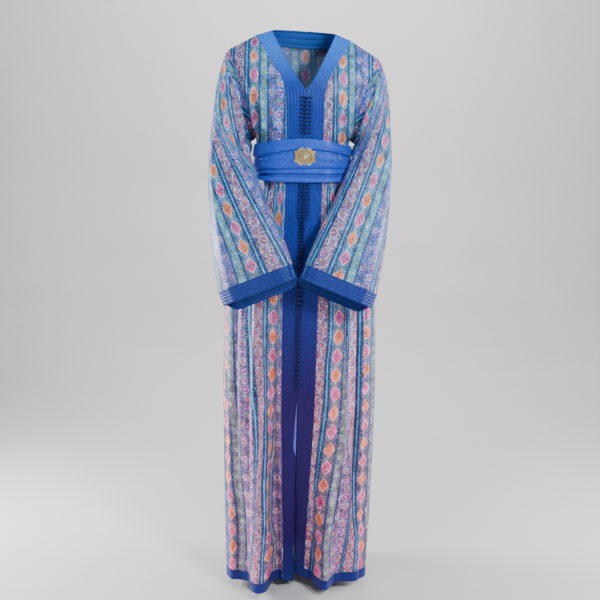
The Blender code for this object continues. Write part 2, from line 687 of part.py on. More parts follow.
def make_sleeves():
    """Both sleeves and their pin-tucked cuffs."""
    share = ring_places(SLEEVE_COLUMNS)
    for side, word in ((1, "left"), (-1, "right")):
        def surface(u, v, side=side):
            return sleeve(-side * 2 * math.pi * u, 1 - v, side)

        u, v = np.meshgrid(share, np.linspace(0, 1, SLEEVE_ROWS + 1))
        v[0] = SEAM / 2
        points = surface(u, v)
        normal = outward(surface, u, np.clip(v, ROW_STEP, 1 - ROW_STEP))
        hem = outward(surface, u[:1], np.zeros_like(u[:1]))
        normal[0] = hem[0]
        rise = 1 - 2 * np.minimum(share, 1 - share)
        face = np.where(np.sin(-side * 2 * math.pi * share) > 0, -1.0, 1.0)
        seam = armhole_normal(rise, face) * np.array([side, 1.0, 1.0])
        own = ease(0.35, 0.05, rise)[:, None]
        normal[-1] = normal[-1] * own + seam * (1 - own)
        normal[-1] /= np.linalg.norm(normal[-1], axis=-1, keepdims=True)
        outer = points + normal * CLOTH
        wall(f"sleeve_{word}", outer, points, (share, share), PRINTED, closed=True)

        rows = np.linspace(0, 1, 2 * CUFF_TUCKS + 1)
        u, v = np.meshgrid(share, -CUFF_HEIGHT * (1 - rows) - SEAM * rows)
        points = surface(u, v)
        ridge = (np.arange(len(rows)) % 2)[:, None] * TUCK
        outer = points + hem * (CLOTH + ridge)[..., None]
        wall(f"cuff_{word}", outer, points[[0, -1]], (share, share), BLUE, closed=True)


# ---------------------------------------------------------------- belt, brooch, buttons

def body_ring(turn):
    """The body's section at the belt: turn 0 at the centre front, 1 all the way round."""
    turn = np.mod(turn, 1.0)
    side = np.where(turn < 0.5, 1.0, -1.0)
    way = np.minimum(turn, 1 - turn) * 4
    level = np.full_like(turn, BELT_LEVEL)
    across = np.where(way < BAND_WAY, way / BAND_WAY - 1, (way - BAND_WAY) / (1 - BAND_WAY))
    ahead = join(side, 1.0, 1.0) * skirt_front(np.clip(across, -1, 1), level, 1)
    behind = skirt_back(side * (2 - np.clip(way, 1, 2)), level)
    return np.where((way > 1)[..., None], behind, ahead)


def belt_ring(turn, z, out):
    """A ring at the belt, so far outside the body and at height z."""
    along = body_ring(turn + ROW_STEP) - body_ring(turn - ROW_STEP)
    along = along / np.linalg.norm(along, axis=-1, keepdims=True)
    square = join(along[..., 1], -along[..., 0], 0.0)
    spot = body_ring(turn) + square * np.broadcast_to(out, np.shape(turn))[..., None]
    return join(spot[..., 0], spot[..., 1], z)


def belt_height(turn, share):
    """The belt's rows, from its bottom edge (0) to its top edge (1), arched at the front."""
    arch = BELT_ARCH * np.clip(np.cos(2 * math.pi * turn), 0, 1) ** ARCH_SHARPNESS
    return BELT_BOTTOM + (BELT_TOP - BELT_BOTTOM + arch) * share


def make_belt():
    """The pleated belt: each pleat's edge stands proud of the one below it."""
    share = ring_places(BELT_COLUMNS)
    u, v = np.meshgrid(share, BELT_PLEATS["share"])
    start = CLOTH + GATHER + BELT_CLEAR
    raised = BELT_CLOTH + BELT_PLEATS["raised"][:, None] * BELT_PLEAT
    outer = belt_ring(u, belt_height(u, v), start + raised)
    inner = belt_ring(u[[0, -1]], belt_height(u[[0, -1]], v[[0, -1]]), start + 0 * u[[0, -1]])
    wall("belt", outer, inner, (share, share), BLUE, closed=True)


def turned(name, profile, radius, place, sides, material):
    """A closed turned solid that faces -Y, from rows of radius share, height and lugs."""
    angle = 2 * math.pi * (np.arange(sides) + 0.5) / sides
    squared = np.minimum(LUG_X / np.abs(np.cos(angle)), LUG_Z / np.abs(np.sin(angle)))
    rings = []
    for share, height, lugs in profile:
        reach = share * (np.maximum(radius, squared) if lugs else radius + 0 * angle)
        rings.append(join(reach * np.cos(angle), -height, reach * np.sin(angle)))
    faces = tube_faces(len(rings), sides)
    return add_object(name, settle(np.concatenate(rings) + np.asarray(place)), faces, material)


def tube_faces(rings, sides):
    """The faces of a solid made of rings of points, closed at both ends."""
    last = (rings - 1) * sides
    faces = [tuple(range(sides)), tuple(last + k for k in reversed(range(sides)))]
    for i in range(rings - 1):
        for j in range(sides):
            k = (j + 1) % sides
            faces.append((i * sides + k, i * sides + j,
                          (i + 1) * sides + j, (i + 1) * sides + k))
    return faces


def make_brooch():
    """The gilt plate, with its rings of filigree as ridges, and the stone set on it."""
    start = CLOTH + GATHER + BELT_CLEAR + BELT_CLOTH + BELT_PLEAT
    belt_face = belt_ring(np.zeros(1), np.zeros(1), start)[0, 1]
    place = (0.0, belt_face - SEAM, BROOCH_Z)
    turned("brooch_plate", BROOCH_PROFILE, BROOCH_RADIUS, place, BROOCH_SIDES, GILT)
    rise = BROOCH_PROFILE[-1][1] + SEAM
    stone = [(share, rise + height, 0) for share, height in STONE_PROFILE]
    turned("brooch_stone", stone, STONE_RADIUS, place, STONE_SIDES, STONE)


def make_buttons():
    """Two runs of corded knots on the slit: one above the belt, one below it."""
    for name, knots in (("buttons_bodice", BODICE_KNOTS), ("buttons_skirt", SKIRT_KNOTS)):
        z = knots["height"].max()
        end = knots["height"].min()
        levels, radii = [z + KNOT_NECK], [KNOT_END]
        while z > end:
            pitch = float(follow(knots, "height", "pitch", z))
            levels += [z, z - pitch * 0.5]
            radii += [KNOT_NECK, KNOT_RADIUS]
            z -= pitch
        levels += [z, z - KNOT_NECK]
        radii += [KNOT_NECK, KNOT_END]
        levels, radii = np.array(levels), np.array(radii)
        angle = 2 * math.pi * (np.arange(KNOT_SIDES) + 0.5) / KNOT_SIDES
        spot = slit_front(levels)
        centre = spot - np.array([0.0, KNOT_RADIUS + SEAM, 0.0])
        ring = join(np.cos(angle), np.sin(angle), 0.0)
        points = centre[:, None] + ring[None] * radii[:, None, None]
        faces = tube_faces(len(levels), KNOT_SIDES)
        add_object(name, settle(points.reshape(-1, 3)), faces, CORD)


def slit_front(z):
    """The face of the front bands at the slit, at given heights."""
    rows = np.concatenate([skirt_rows(False), bodice_rows()])
    edge = front(np.full_like(rows, -1.0), rows, 1)
    return join(0 * z, np.interp(z, edge[:, 2], edge[:, 1]) - CLOTH, z)


# ---------------------------------------------------------------- running order

def clear_scene():
    """Start from nothing."""
    for item in list(bpy.data.objects):
        bpy.data.objects.remove(item, do_unlink=True)


def main():
    clear_scene()
    make_fronts()
    make_back()
    make_neck_band()
    make_sleeves()
    make_belt()
    make_brooch()
    make_buttons()


main()
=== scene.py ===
"""The looks of a long-sleeved Moroccan caftan: cloth, folds, cords, brooch and stage.

This is laid out as a Blender add-on. Its panel is in the sidebar of the 3D view, with the
sizes and colours that a user may change, and one operator makes each group of pieces.
Run as a script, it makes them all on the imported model.

Metres, +Z up, the front towards -Y; left and right are the wearer's.
"""
import math

import bmesh
import bpy
import numpy as np
from mathutils import Matrix, Vector


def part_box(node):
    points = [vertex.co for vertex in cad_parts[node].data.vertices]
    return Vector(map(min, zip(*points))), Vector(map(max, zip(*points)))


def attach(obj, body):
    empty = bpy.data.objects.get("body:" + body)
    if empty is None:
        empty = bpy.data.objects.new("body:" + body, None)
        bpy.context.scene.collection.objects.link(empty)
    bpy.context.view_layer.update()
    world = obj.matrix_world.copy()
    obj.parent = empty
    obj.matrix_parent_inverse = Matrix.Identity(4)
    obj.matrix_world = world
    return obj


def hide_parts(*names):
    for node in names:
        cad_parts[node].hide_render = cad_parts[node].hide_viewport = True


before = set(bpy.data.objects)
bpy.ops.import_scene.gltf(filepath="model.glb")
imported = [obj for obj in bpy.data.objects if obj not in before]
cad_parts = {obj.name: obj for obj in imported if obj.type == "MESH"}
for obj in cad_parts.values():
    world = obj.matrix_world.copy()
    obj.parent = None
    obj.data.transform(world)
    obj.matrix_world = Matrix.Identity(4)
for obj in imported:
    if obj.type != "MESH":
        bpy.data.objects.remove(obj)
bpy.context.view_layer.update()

bl_info = {
    "name": "Moroccan caftan",
    "version": (1, 0, 0),
    "blender": (4, 5, 0),
    "location": "3D View > Sidebar > Caftan",
    "description": "Builds the cloth, cords, brooch and stage of a belted Moroccan caftan",
    "category": "Add Mesh",
}


def table(columns, *rows):
    """Rows of numbers as one array for each named column."""
    return dict(zip(columns.split(), np.array(rows, float).T))


def crease_table(*rows):
    """Creases: where each begins and ends, its width, and how far it stands out."""
    return table("x0 z0 x1 z1 width out", *rows)


def colour(hexadecimal):
    """A linear colour from an sRGB one written as rrggbb."""
    parts = [int(hexadecimal[k:k + 2], 16) / 255 for k in (0, 2, 4)]
    return tuple(c / 12.92 if c <= 0.04045 else ((c + 0.055) / 1.055) ** 2.4 for c in parts)


STRIPES = 0.1555                # width of the repeat that the print's sizes are given for
SIDES = ((1, "left"), (-1, "right"))


# ---------------------------------------------------------------- sizes and colours

def measure(name, description, default, low, high):
    """A length that a user may change."""
    return bpy.props.FloatProperty(name=name, description=description, default=default,
                                   min=low, max=high, precision=4, unit="LENGTH")


def tint(name, description, default):
    """A colour that a user may change."""
    return bpy.props.FloatVectorProperty(name=name, description=description, subtype="COLOR",
                                         size=3, min=0, max=1, default=colour(default))


class CaftanSizes(bpy.types.PropertyGroup):
    """Sizes that a user may change."""

    cloth: measure("Cloth", "Thickness of the crepe as it is drawn", 0.0011, 0.0004, 0.0018)
    tuck: measure("Pin-tuck", "How far a pin-tuck stands up", 0.0011, 0.0, 0.002)
    crease: bpy.props.FloatProperty(
        name="Creases", description="Depth of the cloth's creases, as a share of the usual",
        default=1.0, min=0.0, max=1.5, subtype="FACTOR")
    repeat: measure("Stripe repeat", "Width of one whole repeat of the printed stripes",
                    STRIPES, 0.08, 0.4)
    knot: measure("Knot radius", "Radius of a knot button", 0.0036, 0.002, 0.0045)


class CaftanColours(bpy.types.PropertyGroup):
    """Colours that a user may change."""

    ground: tint("Ground", "The print's pale grey-blue ground", "4c6f94")
    teal: tint("Teal lines", "The dark lines between the stripes", "033a5c")
    blue: tint("Blue crepe", "Bands, neck and hem, towards the neck", "1d3386")
    indigo: tint("Indigo crepe", "The same cloth, where its dye is deepest", "24104e")
    cord: tint("Cord", "The knots and their loops", "081248")
    gilt: tint("Gilt", "The brooch's metal", "f8dc98")


# ---------------------------------------------------------------- the garment's shape

# Cloth, seams and trimmings
CLOTH = 0.0020              # wall of the printed cloth and of the plain blue cloth
SEAM = 0.0003               # gap between two pieces that are sewn together
HEM_Z = -1.487              # lowest edge of the skirt, below the shoulder
HEM_BAND = 0.028            # height of the blue band round the hem
HEM_RAISE = 0.0006          # how far it stands proud of the printed cloth
WAIST_Z = -0.325            # seam that joins skirt and bodice, under the belt
CORNER_DROP = 0.020         # how far the right front's slit corner hangs below the hem
BAND_TUCKS = 6              # pin-tucks across each front band
CUFF_TUCKS = 5              # pin-tucks round each cuff
NECK_TUCKS = 3              # pin-tucks round the back of the neck
BAND_WAVES = 0.0006         # how far a front band waves in and out
TUCK_WIDTH = 0.115          # half a tuck's width, as a share of the step between tucks
CUFF_HEIGHT = 0.038
BACK_LAG = 0.022            # how much lower than its front the back of a sleeve ends
GATHER = 0.0010             # relief of the small gathers beside the belt
FRONT_GATHERS, BACK_GATHERS = 9, 15     # gathers drawn across a front and across the back

# Shoulder, neck and armhole
TIP_X, TIP_Z = 0.192, -0.055            # end of the shoulder seam
UNDERARM_X, UNDERARM_Z = 0.1205, -0.270
ARMHOLE_DEPTH = 0.050                   # front to back, from the shoulder seam's line
NECK_X, NECK_Y, NECK_RISE = 0.080, 0.058, 0.004     # inner edge of the neck band
YOKE_X, YOKE_Y, YOKE_Z = 0.120, 0.080, -0.014       # outer edge of the neck band
YOKE_DROP = 0.026                       # how much lower the band's edge is at the back
NAPE_NORMAL = (0.0, 0.93, 0.33)         # which way the neck band faces at the back
NECK_SHARE = 22 / 36                    # share of the back, from its centre, along the neck
BACK_HOLLOW = 0.032                     # keeps the back from rounding out between armholes
SHOULDER_SEAM = np.array([[YOKE_X, 0, YOKE_Z], [TIP_X, 0, TIP_Z]])      # its two ends
SHOULDER_TILT = 0.050                   # the left shoulder is held a little lower
TILT_REACH = (-0.38, -0.05)             # heights between which that tilt comes in

# Belt and brooch
BELT_TOP, BELT_BOTTOM = -0.287, -0.371  # at the sides and back
BELT_ARCH = 0.027                       # how much its top edge rises at the front
ARCH_SHARPNESS = 1.5                    # more gathers the rise nearer the centre
BELT_CLEAR = 0.0020                     # room over the cloth's gathers
BELT_CLOTH = 0.0026
# Heights between which the gathers grow towards the belt, and those between which the cloth
# comes to lie under it, from below and from above
GATHER_REACH = {"skirt": (-0.66, -0.40), "bodice": (-0.12, -0.28)}
UNDER_BELT = ((BELT_BOTTOM - 0.02, BELT_BOTTOM), (-0.24, -0.26))
BELT_OUT = CLOTH + GATHER + BELT_CLEAR + BELT_CLOTH     # its outer face, out from the body
BELT_GROUND = BELT_OUT - 0.3 * BELT_CLOTH       # what the drawn folds stand out from
BELT_LEVEL = -0.33          # the body's section here is the belt's
BAND_WAY = 0.28             # share of the way from centre front to side that is the band

# Knot buttons: how far apart they are at several heights
BODICE_KNOTS = table("height pitch", (-0.250, 0.0097), (-0.158, 0.0097))
SKIRT_KNOTS = table("height pitch", (-0.914, 0.0118), (-0.645, 0.0118),
                    (-0.620, 0.0088), (-0.379, 0.0082))

# The body at several heights: half width at the side seams, depth of the front and
# back from them, and half the width of the closed front bands, as seen from the front
BODY = table(
    "height  side   front  back   band_r band_l",
    (-1.487, 0.190, 0.130, 0.150, 0.030, 0.030),
    (-1.350, 0.195, 0.133, 0.149, 0.032, 0.034),
    (-1.210, 0.200, 0.136, 0.147, 0.036, 0.038),
    (-0.950, 0.206, 0.137, 0.143, 0.042, 0.046),
    (-0.680, 0.200, 0.130, 0.132, 0.045, 0.047),
    (-0.550, 0.170, 0.118, 0.120, 0.046, 0.047),
    (-0.434, 0.134, 0.110, 0.104, 0.046, 0.047),
    (-0.371, 0.119, 0.106, 0.093, 0.046, 0.047),
    (-0.288, 0.119, 0.106, 0.093, 0.046, 0.047),
    (-0.270, 0.1205, 0.1065, 0.094, 0.046, 0.047),
)
# The slit edges of the bands lie deeper than the bands' outer edges towards the hem
SLIT = table(
    "height  inset",
    (-1.487, 0.030), (-1.350, 0.024), (-1.200, 0.014), (-0.950, 0.001),
    (-0.680, -0.004), (-0.270, -0.004),
)
# The front bands above the belt, by share of the way up the armhole: the edge along
# the centre front and the neck, and the edge that is sewn to the panel
NECKLINE = table(
    "rise  edge_x  edge_y  edge_z  sewn_x  sewn_y  sewn_z",
    (0.00, 0.000, -0.1105, -0.270, 0.0465, -0.1065, -0.270),
    (0.20, 0.000, -0.1125, -0.235, 0.0470, -0.1090, -0.235),
    (0.40, 0.000, -0.1100, -0.178, 0.0475, -0.1070, -0.178),
    (0.50, 0.000, -0.105, -0.147, 0.0500, -0.101, -0.147),
    (0.62, 0.020, -0.093, -0.112, 0.0590, -0.090, -0.115),
    (0.74, 0.037, -0.077, -0.083, 0.0760, -0.072, -0.084),
    (0.88, 0.061, -0.045, -0.040, 0.1030, -0.038, -0.043),
    (1.00, 0.080, 0.000, -0.002, 0.1200, 0.000, -0.014),
)
# Folds of the skirt, from the band (place 0) or the centre back (0) to the side seam
# (1): how far each stands out (+) or in (-) at the hem, and the height where it starts
RIGHT_FOLDS = table(
    "place out     start",
    (0.00, -0.052, -0.80), (0.07, -0.058, -0.75), (0.24, 0.040, -0.85),
    (0.36, 0.012, -1.00), (0.47, -0.010, -0.60), (0.66, 0.014, -0.90),
    (0.85, 0.004, -0.60), (1.00, 0.000, -0.60),
)
LEFT_FOLDS = table(
    "place out     start",
    (0.00, -0.070, -0.85), (0.07, -0.056, -0.90), (0.20, 0.012, -0.95),
    (0.31, -0.016, -1.05), (0.45, -0.022, -0.60), (0.66, 0.008, -0.90),
    (0.85, 0.006, -0.60), (1.00, 0.000, -0.60),
)
BACK_FOLDS = table(
    "place  out    start",
    (-1.00, 0.000, -0.60), (-0.80, 0.010, -0.85), (-0.58, -0.022, -0.60),
    (-0.34, 0.028, -0.75), (-0.10, -0.026, -0.60), (0.14, 0.022, -0.80),
    (0.36, -0.024, -0.65), (0.60, 0.026, -0.75), (0.82, -0.008, -0.60),
    (1.00, 0.000, -0.60),
)
# How far the centre front wanders to the left, by height
CENTRE = table("height shift", (-1.487, -0.008), (-0.90, -0.003), (-0.60, 0.001),
               (-0.45, 0.005), (-0.27, 0.008), (-0.15, 0.008), (0.0, 0.0))
CENTRE_REACH = 0.09         # the shift dies away over this distance to either side

# The left sleeve at stations from the armhole to the cuff: the fold along its outer
# side, the fold along the underarm, half its depth and its forward tilt in degrees
SLEEVE = table(
    "outer_x outer_y outer_z  inner_x inner_y inner_z  depth  tilt",
    (0.1920, 0.000, -0.055, 0.1205, 0.000, -0.270, 0.050, 0),
    (0.2120, -0.004, -0.103, 0.1410, -0.012, -0.282, 0.056, 1),
    (0.2240, -0.016, -0.180, 0.1430, -0.040, -0.304, 0.056, 3),
    (0.2270, -0.052, -0.300, 0.1220, -0.106, -0.350, 0.049, 6),
    (0.2240, -0.090, -0.400, 0.0930, -0.152, -0.413, 0.045, 8),
    (0.2180, -0.120, -0.495, 0.0580, -0.184, -0.480, 0.042, 10),
    (0.2090, -0.142, -0.575, 0.0340, -0.204, -0.528, 0.038, 12),
    (0.1970, -0.160, -0.648, 0.0200, -0.214, -0.564, 0.034, 14),
)
SLEEVE_SHIFT = -0.006       # both cuffs are carried a little to the right
SLEEVE_FULLNESS = 3.2       # 2 is an ellipse, more is a flatter front
SLEEVE_GAP = 1.2 * SEAM     # between a sleeve and the armhole it is sewn to
UNDERARM_GAP = 1.5 * CLOTH  # and how much more where the cloth folds under the arm

SKIRT_HEIGHT = UNDERARM_Z - HEM_Z
HEM_SHARE = HEM_BAND / SKIRT_HEIGHT     # the hem band's share of it
WAIST_SHARE = (WAIST_Z - HEM_Z) / SKIRT_HEIGHT
ARMHOLE_HEIGHT = TIP_Z - UNDERARM_Z

# ---------------------------------------------------------------- folds and the print's lie

# Creases, as the place and height where each begins, where it ends, how wide it is at
# either side of its middle, and how far it stands out (+) or in (-). A place is the share
# of the way from the front band, or the centre back, to the side seam.
SKIRT_CREASES = {
    -1: crease_table(
        (0.08, -0.62, 0.13, -1.75, 0.034, -0.0110), (0.18, -0.58, 0.21, -1.80, 0.026, 0.0060),
        (0.30, -0.52, 0.30, -1.75, 0.030, 0.0065), (0.37, -0.70, 0.40, -1.70, 0.034, -0.0070),
        (0.46, -0.38, 0.50, -1.25, 0.036, 0.0050), (0.55, -0.42, 0.58, -1.75, 0.050, -0.0070),
        (0.66, -0.38, 0.66, -1.30, 0.035, 0.0045), (0.74, -0.80, 0.80, -1.75, 0.050, 0.0055),
        (0.88, -0.40, 0.90, -1.40, 0.050, -0.0045),
    ),
    1: crease_table(
        (0.05, -0.95, 0.06, -1.80, 0.040, -0.0080), (0.16, -0.42, 0.12, -1.20, 0.030, 0.0035),
        (0.36, -0.42, 0.27, -1.80, 0.030, 0.0060), (0.45, -0.40, 0.54, -1.35, 0.020, -0.0100),
        (0.51, -0.44, 0.64, -1.40, 0.030, 0.0070), (0.40, -0.95, 0.36, -1.75, 0.036, -0.0055),
        (0.58, -0.40, 0.70, -1.75, 0.040, -0.0060), (0.80, -0.50, 0.80, -1.75, 0.050, 0.0050),
        (0.91, -0.40, 0.92, -1.20, 0.040, -0.0030),
    ),
    0: crease_table(
        (-0.92, -0.40, -0.90, -1.30, 0.040, -0.0035), (-0.74, -0.55, -0.70, -1.75, 0.045, 0.0045),
        (-0.60, -0.40, -0.56, -1.20, 0.035, -0.0035), (-0.47, -0.80, -0.44, -1.75, 0.040, 0.0040),
        (-0.30, -0.38, -0.28, -1.10, 0.030, 0.0035), (-0.20, -0.60, -0.22, -1.75, 0.045, -0.0045),
        (-0.04, -0.42, 0.00, -1.40, 0.035, 0.0040), (0.10, -0.75, 0.08, -1.75, 0.045, -0.0040),
        (0.24, -0.40, 0.27, -1.25, 0.035, 0.0035), (0.42, -0.60, 0.40, -1.75, 0.045, -0.0040),
        (0.55, -0.38, 0.53, -1.20, 0.030, 0.0035), (0.70, -0.70, 0.73, -1.75, 0.045, 0.0040),
        (0.87, -0.42, 0.89, -1.30, 0.045, -0.0035),
    ),
}
BODICE_CREASES = {
    -1: crease_table(
        (0.10, -0.17, 0.14, -0.40, 0.040, -0.0045), (0.26, -0.12, 0.24, -0.40, 0.045, 0.0053),
        (0.38, -0.15, 0.36, -0.40, 0.040, -0.0053), (0.52, -0.09, 0.50, -0.40, 0.050, 0.0060),
        (0.66, -0.13, 0.62, -0.40, 0.045, -0.0067), (0.84, -0.07, 0.74, -0.36, 0.055, 0.0075),
        (0.95, -0.13, 0.84, -0.36, 0.040, -0.0053),
    ),
    1: crease_table(
        (0.12, -0.18, 0.16, -0.40, 0.040, 0.0045), (0.24, -0.13, 0.27, -0.40, 0.040, -0.0053),
        (0.40, -0.11, 0.38, -0.40, 0.050, 0.0060), (0.55, -0.14, 0.50, -0.40, 0.045, -0.0067),
        (0.70, -0.09, 0.62, -0.40, 0.055, 0.0075), (0.88, -0.08, 0.78, -0.36, 0.050, -0.0067),
    ),
    0: crease_table(
        (-0.78, -0.10, -0.70, -0.40, 0.050, 0.0060), (-0.62, -0.15, -0.56, -0.40, 0.040, -0.0053),
        (-0.40, -0.12, -0.38, -0.40, 0.050, 0.0053), (-0.20, -0.16, -0.18, -0.40, 0.040, -0.0053),
        (0.02, -0.10, 0.00, -0.40, 0.060, 0.0053), (0.24, -0.15, 0.20, -0.40, 0.045, -0.0053),
        (0.44, -0.12, 0.40, -0.40, 0.050, 0.0060), (0.64, -0.14, 0.58, -0.40, 0.045, -0.0053),
        (0.82, -0.10, 0.72, -0.40, 0.050, 0.0053),
    ),
}
# Creases of a sleeve: the share of the way round from the underarm by the front, and the
# share of the way from the armhole to the cuff
SLEEVE_CREASES = crease_table(
    (0.10, 0.10, 0.06, 0.72, 0.022, -0.0030), (0.17, 0.30, 0.13, 1.30, 0.025, 0.0030),
    (0.27, 0.02, 0.22, 0.80, 0.028, -0.0035), (0.34, 0.20, 0.31, 1.30, 0.024, 0.0030),
    (0.42, 0.05, 0.40, 0.90, 0.025, -0.0030), (0.58, 0.05, 0.60, 0.90, 0.026, 0.0030),
    (0.68, 0.15, 0.66, 1.30, 0.026, -0.0035), (0.77, 0.05, 0.79, 0.85, 0.026, 0.0030),
    (0.87, 0.20, 0.88, 1.30, 0.024, -0.0030),
)

# The print's lines on each front of the skirt, in metres across the cloth. Then, at several
# heights, where each lies as its share of the way from the front band to the skirt's outer
# edge. Where two shares are close together the cloth goes into a fold.
SKIRT_LINES = {
    -1: (0.275, 0.258, 0.232, 0.203, 0.1885, 0.1555, 0.1405, 0.1002, 0.0782, 0.0475),
    1: (0.033, 0.0475, 0.0782, 0.1002, 0.1405, 0.1555, 0.1885, 0.203, 0.234, 0.252),
}
SKIRT_PRINT = {
    -1: ((-1.445, 0.0, 0.13, 0.18, 0.32, 0.39, 0.56, 0.58, 0.655, 0.80, 0.975),
         (-1.386, 0.0, 0.10, 0.15, 0.32, 0.37, 0.52, 0.54, 0.635, 0.78, 0.97),
         (-1.298, 0.0, 0.18, 0.235, 0.26, 0.345, 0.46, 0.47, 0.64, 0.785, 0.98),
         (-1.182, 0.0, 0.145, 0.22, 0.255, 0.35, 0.44, 0.455, 0.69, 0.85, 1.07),
         (-1.068, 0.0, 0.09, 0.145, 0.225, 0.305, 0.37, 0.445, 0.70, 0.85, 1.06),
         (-0.955, 0.0, 0.10, 0.115, 0.235, 0.275, 0.38, 0.505, 0.755, 0.905, 1.095),
         (-0.764, 0.0, 0.035, 0.06, 0.24, 0.315, 0.495, 0.605, 0.825, 0.985, 1.125)),
    1: ((-1.445, 0.083, 0.14, 0.275, 0.385, 0.56, 0.60, 0.775, 0.835, 0.975, 1.08),
        (-1.356, 0.106, 0.146, 0.25, 0.36, 0.625, 0.67, 0.777, 0.834, 0.95, 1.06),
        (-1.298, 0.106, 0.116, 0.265, 0.395, 0.64, 0.672, 0.707, 0.78, 0.94, 1.05),
        (-1.240, 0.082, 0.102, 0.283, 0.432, 0.674, 0.677, 0.68, 0.756, 0.93, 1.04),
        (-1.182, 0.075, 0.132, 0.316, 0.472, 0.644, 0.649, 0.66, 0.74, 0.923, 1.04),
        (-1.068, 0.089, 0.178, 0.38, 0.524, 0.548, 0.555, 0.663, 0.752, 0.918, 1.04),
        (-0.955, 0.129, 0.229, 0.415, 0.523, 0.528, 0.534, 0.668, 0.75, 0.912, 1.04),
        (-0.845, 0.139, 0.223, 0.439, 0.457, 0.466, 0.501, 0.663, 0.745, 0.909, 1.04),
        (-0.764, 0.174, 0.263, 0.458, 0.464, 0.472, 0.54, 0.671, 0.757, 0.933, 1.06)),
}
TURNS_AWAY = 0.935               # share of the way out at which the skirt turns away
BODICE_PRINT = {-1: (0.194, -1.0), 1: (-0.040, 1.0)}   # at the centre front, and its sense
BACK_PRINT = (0.062, 0.30)      # at the centre back, and metres of cloth out to a side
CHEST_ROUND = 3.2               # how much longer the cloth is than its width across the chest
# One line of the print down each sleeve, as a viewer in front sees it
SLEEVE_LINES = {
    -1: table("height x", (-0.70, 0.030), (-0.626, -0.010), (-0.557, -0.049), (-0.480, -0.093),
              (-0.409, -0.134), (-0.338, -0.173), (-0.266, -0.209), (-0.198, -0.240),
              (-0.157, -0.262), (-0.108, -0.275), (0.0, -0.283)),
    1: table("height x", (-0.70, -0.030), (-0.626, 0.000), (-0.551, 0.035), (-0.502, 0.056),
             (-0.454, 0.081), (-0.406, 0.102), (-0.358, 0.126), (-0.310, 0.148),
             (-0.261, 0.170), (-0.212, 0.187), (-0.163, 0.202), (-0.113, 0.216), (0.0, 0.226)),
}
SLEEVE_LINE_ACROSS = STRIPES    # which line of the print that is
FOLD_LINE = 0.085               # share of the way down a sleeve to the fold by its armhole
ARMHOLE_FOLD = 0.0085           # how deep that fold is
# Its trough, as its place and half width, both shares of the way down to FOLD_LINE, and the
# ridge past it, as its place, its half width down the sleeve and its height
TROUGH, RIDGE = (0.62, 0.30), (1.25, 0.022, 0.8)
FOLD_PRINT = 0.05               # the print's place in it
FOLD_STRIPES = (0.78, 0.62)     # and which way its stripes run, out to the side and up
INNER_FULLNESS = 0.012          # how much fuller a sleeve is beside the belt
INNER_ROUND, INNER_PLACE, INNER_LENGTH = 0.07, 0.24, 0.16   # how far that goes, round and down

SLIT_EDGE = (-0.95, -1.23, 0.0066)      # where the slit's rolled edge shows, and its width
SLIT_PROUD, SLIT_BOW = 0.0026, 0.0008   # how far it stands out, and how far it bows

# The brooch's wires, as their radius, thickness and how far behind the stone's top they
# lie, and its grains, as the radius of their ring, their size, their depth and their number
BROOCH_WIRES = ((0.0234, 0.0010, 0.0018), (0.0196, 0.0009, 0.0010), (0.0150, 0.0007, 0.0020),
                (0.0104, 0.0010, 0.0004), (0.0060, 0.0010, 0.0000))
BROOCH_BEADS = ((0.0218, 0.0009, 0.0016, 44), (0.0176, 0.0011, 0.0014, 30),
                (0.0126, 0.0010, 0.0014, 22), (0.0080, 0.0009, 0.0006, 14))
BROOCH_LUGS = (0.0235, 0.0112)          # where the four lugs lie from its middle
LUG_WIRE = (0.0026, 0.0009, 0.0022)     # a lug's radius, thickness and depth, as above
PIPING = 0.0008                 # half the thickness of the cord along a sleeve's edges
PIPING_TURN = 0.018             # where the cord runs down a sleeve, as a share round it
PIPING_START = 0.13             # and how far down it begins

# The knots' wrapped loops: how far they reach to the wearer's right and left, at the top and
# further down, and half their thickness at six places out from the knot
WIDE_LOOPS, LOW_LOOPS = (0.0135, 0.0135), (0.0085, 0.0035)
WIDE_LOOPS_END = -0.470
LOOP_RADII = 0.0020 * np.array([0.75, 1.0, 0.86, 1.04, 0.95, 0.50])
LOOP_OUT, LOOP_BOW, LOOP_DROOP = 0.0019, 0.0007, 0.0009     # how proud, bowed and slanted
FULL_PITCH = 0.0092             # knots that are closer together than this are smaller

# The stage: the sweep's profile as places back and up from the floor under the garment
FLOOR_Z = -1.515
SWEEP = ((-3.6, 0.0), (0.0, 0.0), (2.7, 0.0), (3.3, 0.05), (3.75, 0.25), (3.95, 0.7),
         (4.0, 1.6), (4.0, 4.6))
SWEEP_HALF_WIDTH = 5.0
WORLD_COLOUR, WORLD_STRENGTH = "e6e8ee", 0.09
# The camera's place, its lens in millimetres, and its downward tilt and roll in degrees
CAMERA_PLACE, CAMERA_LENS = (0.0, -3.0, -0.02), 68.25
CAMERA_TILT, CAMERA_ROLL = 12.83, 0.86
# The lights: place, aim, size in metres, power in watts and colour
LIGHTS = (
    ("key", (1.5, -2.3, 1.0), (0.0, 0.0, -0.55), 0.6, 124.0, (0.90, 0.97, 1.0)),
    ("fill", (-1.6, -2.2, -1.1), (0.0, 0.0, -1.1), 0.9, 25.0, (1.0, 0.95, 0.97)),
    ("top", (-0.6, -1.0, 1.6), (0.0, 0.1, -0.2), 0.6, 28.0, (0.82, 0.95, 1.0)),
    ("left_edge", (-1.6, 0.25, -0.7), (-0.2, 0.0, -0.80), 0.5, 80.0, (0.95, 1.0, 1.0)),
    ("right_edge", (1.8, 0.1, -0.6), (0.2, 0.0, -0.85), 0.7, 52.0, (0.95, 0.99, 1.0)),
    ("back", (0.0, 2.2, 1.2), (0.0, 3.9, -0.6), 2.4, 150.0, (1.0, 1.0, 1.0)),
)

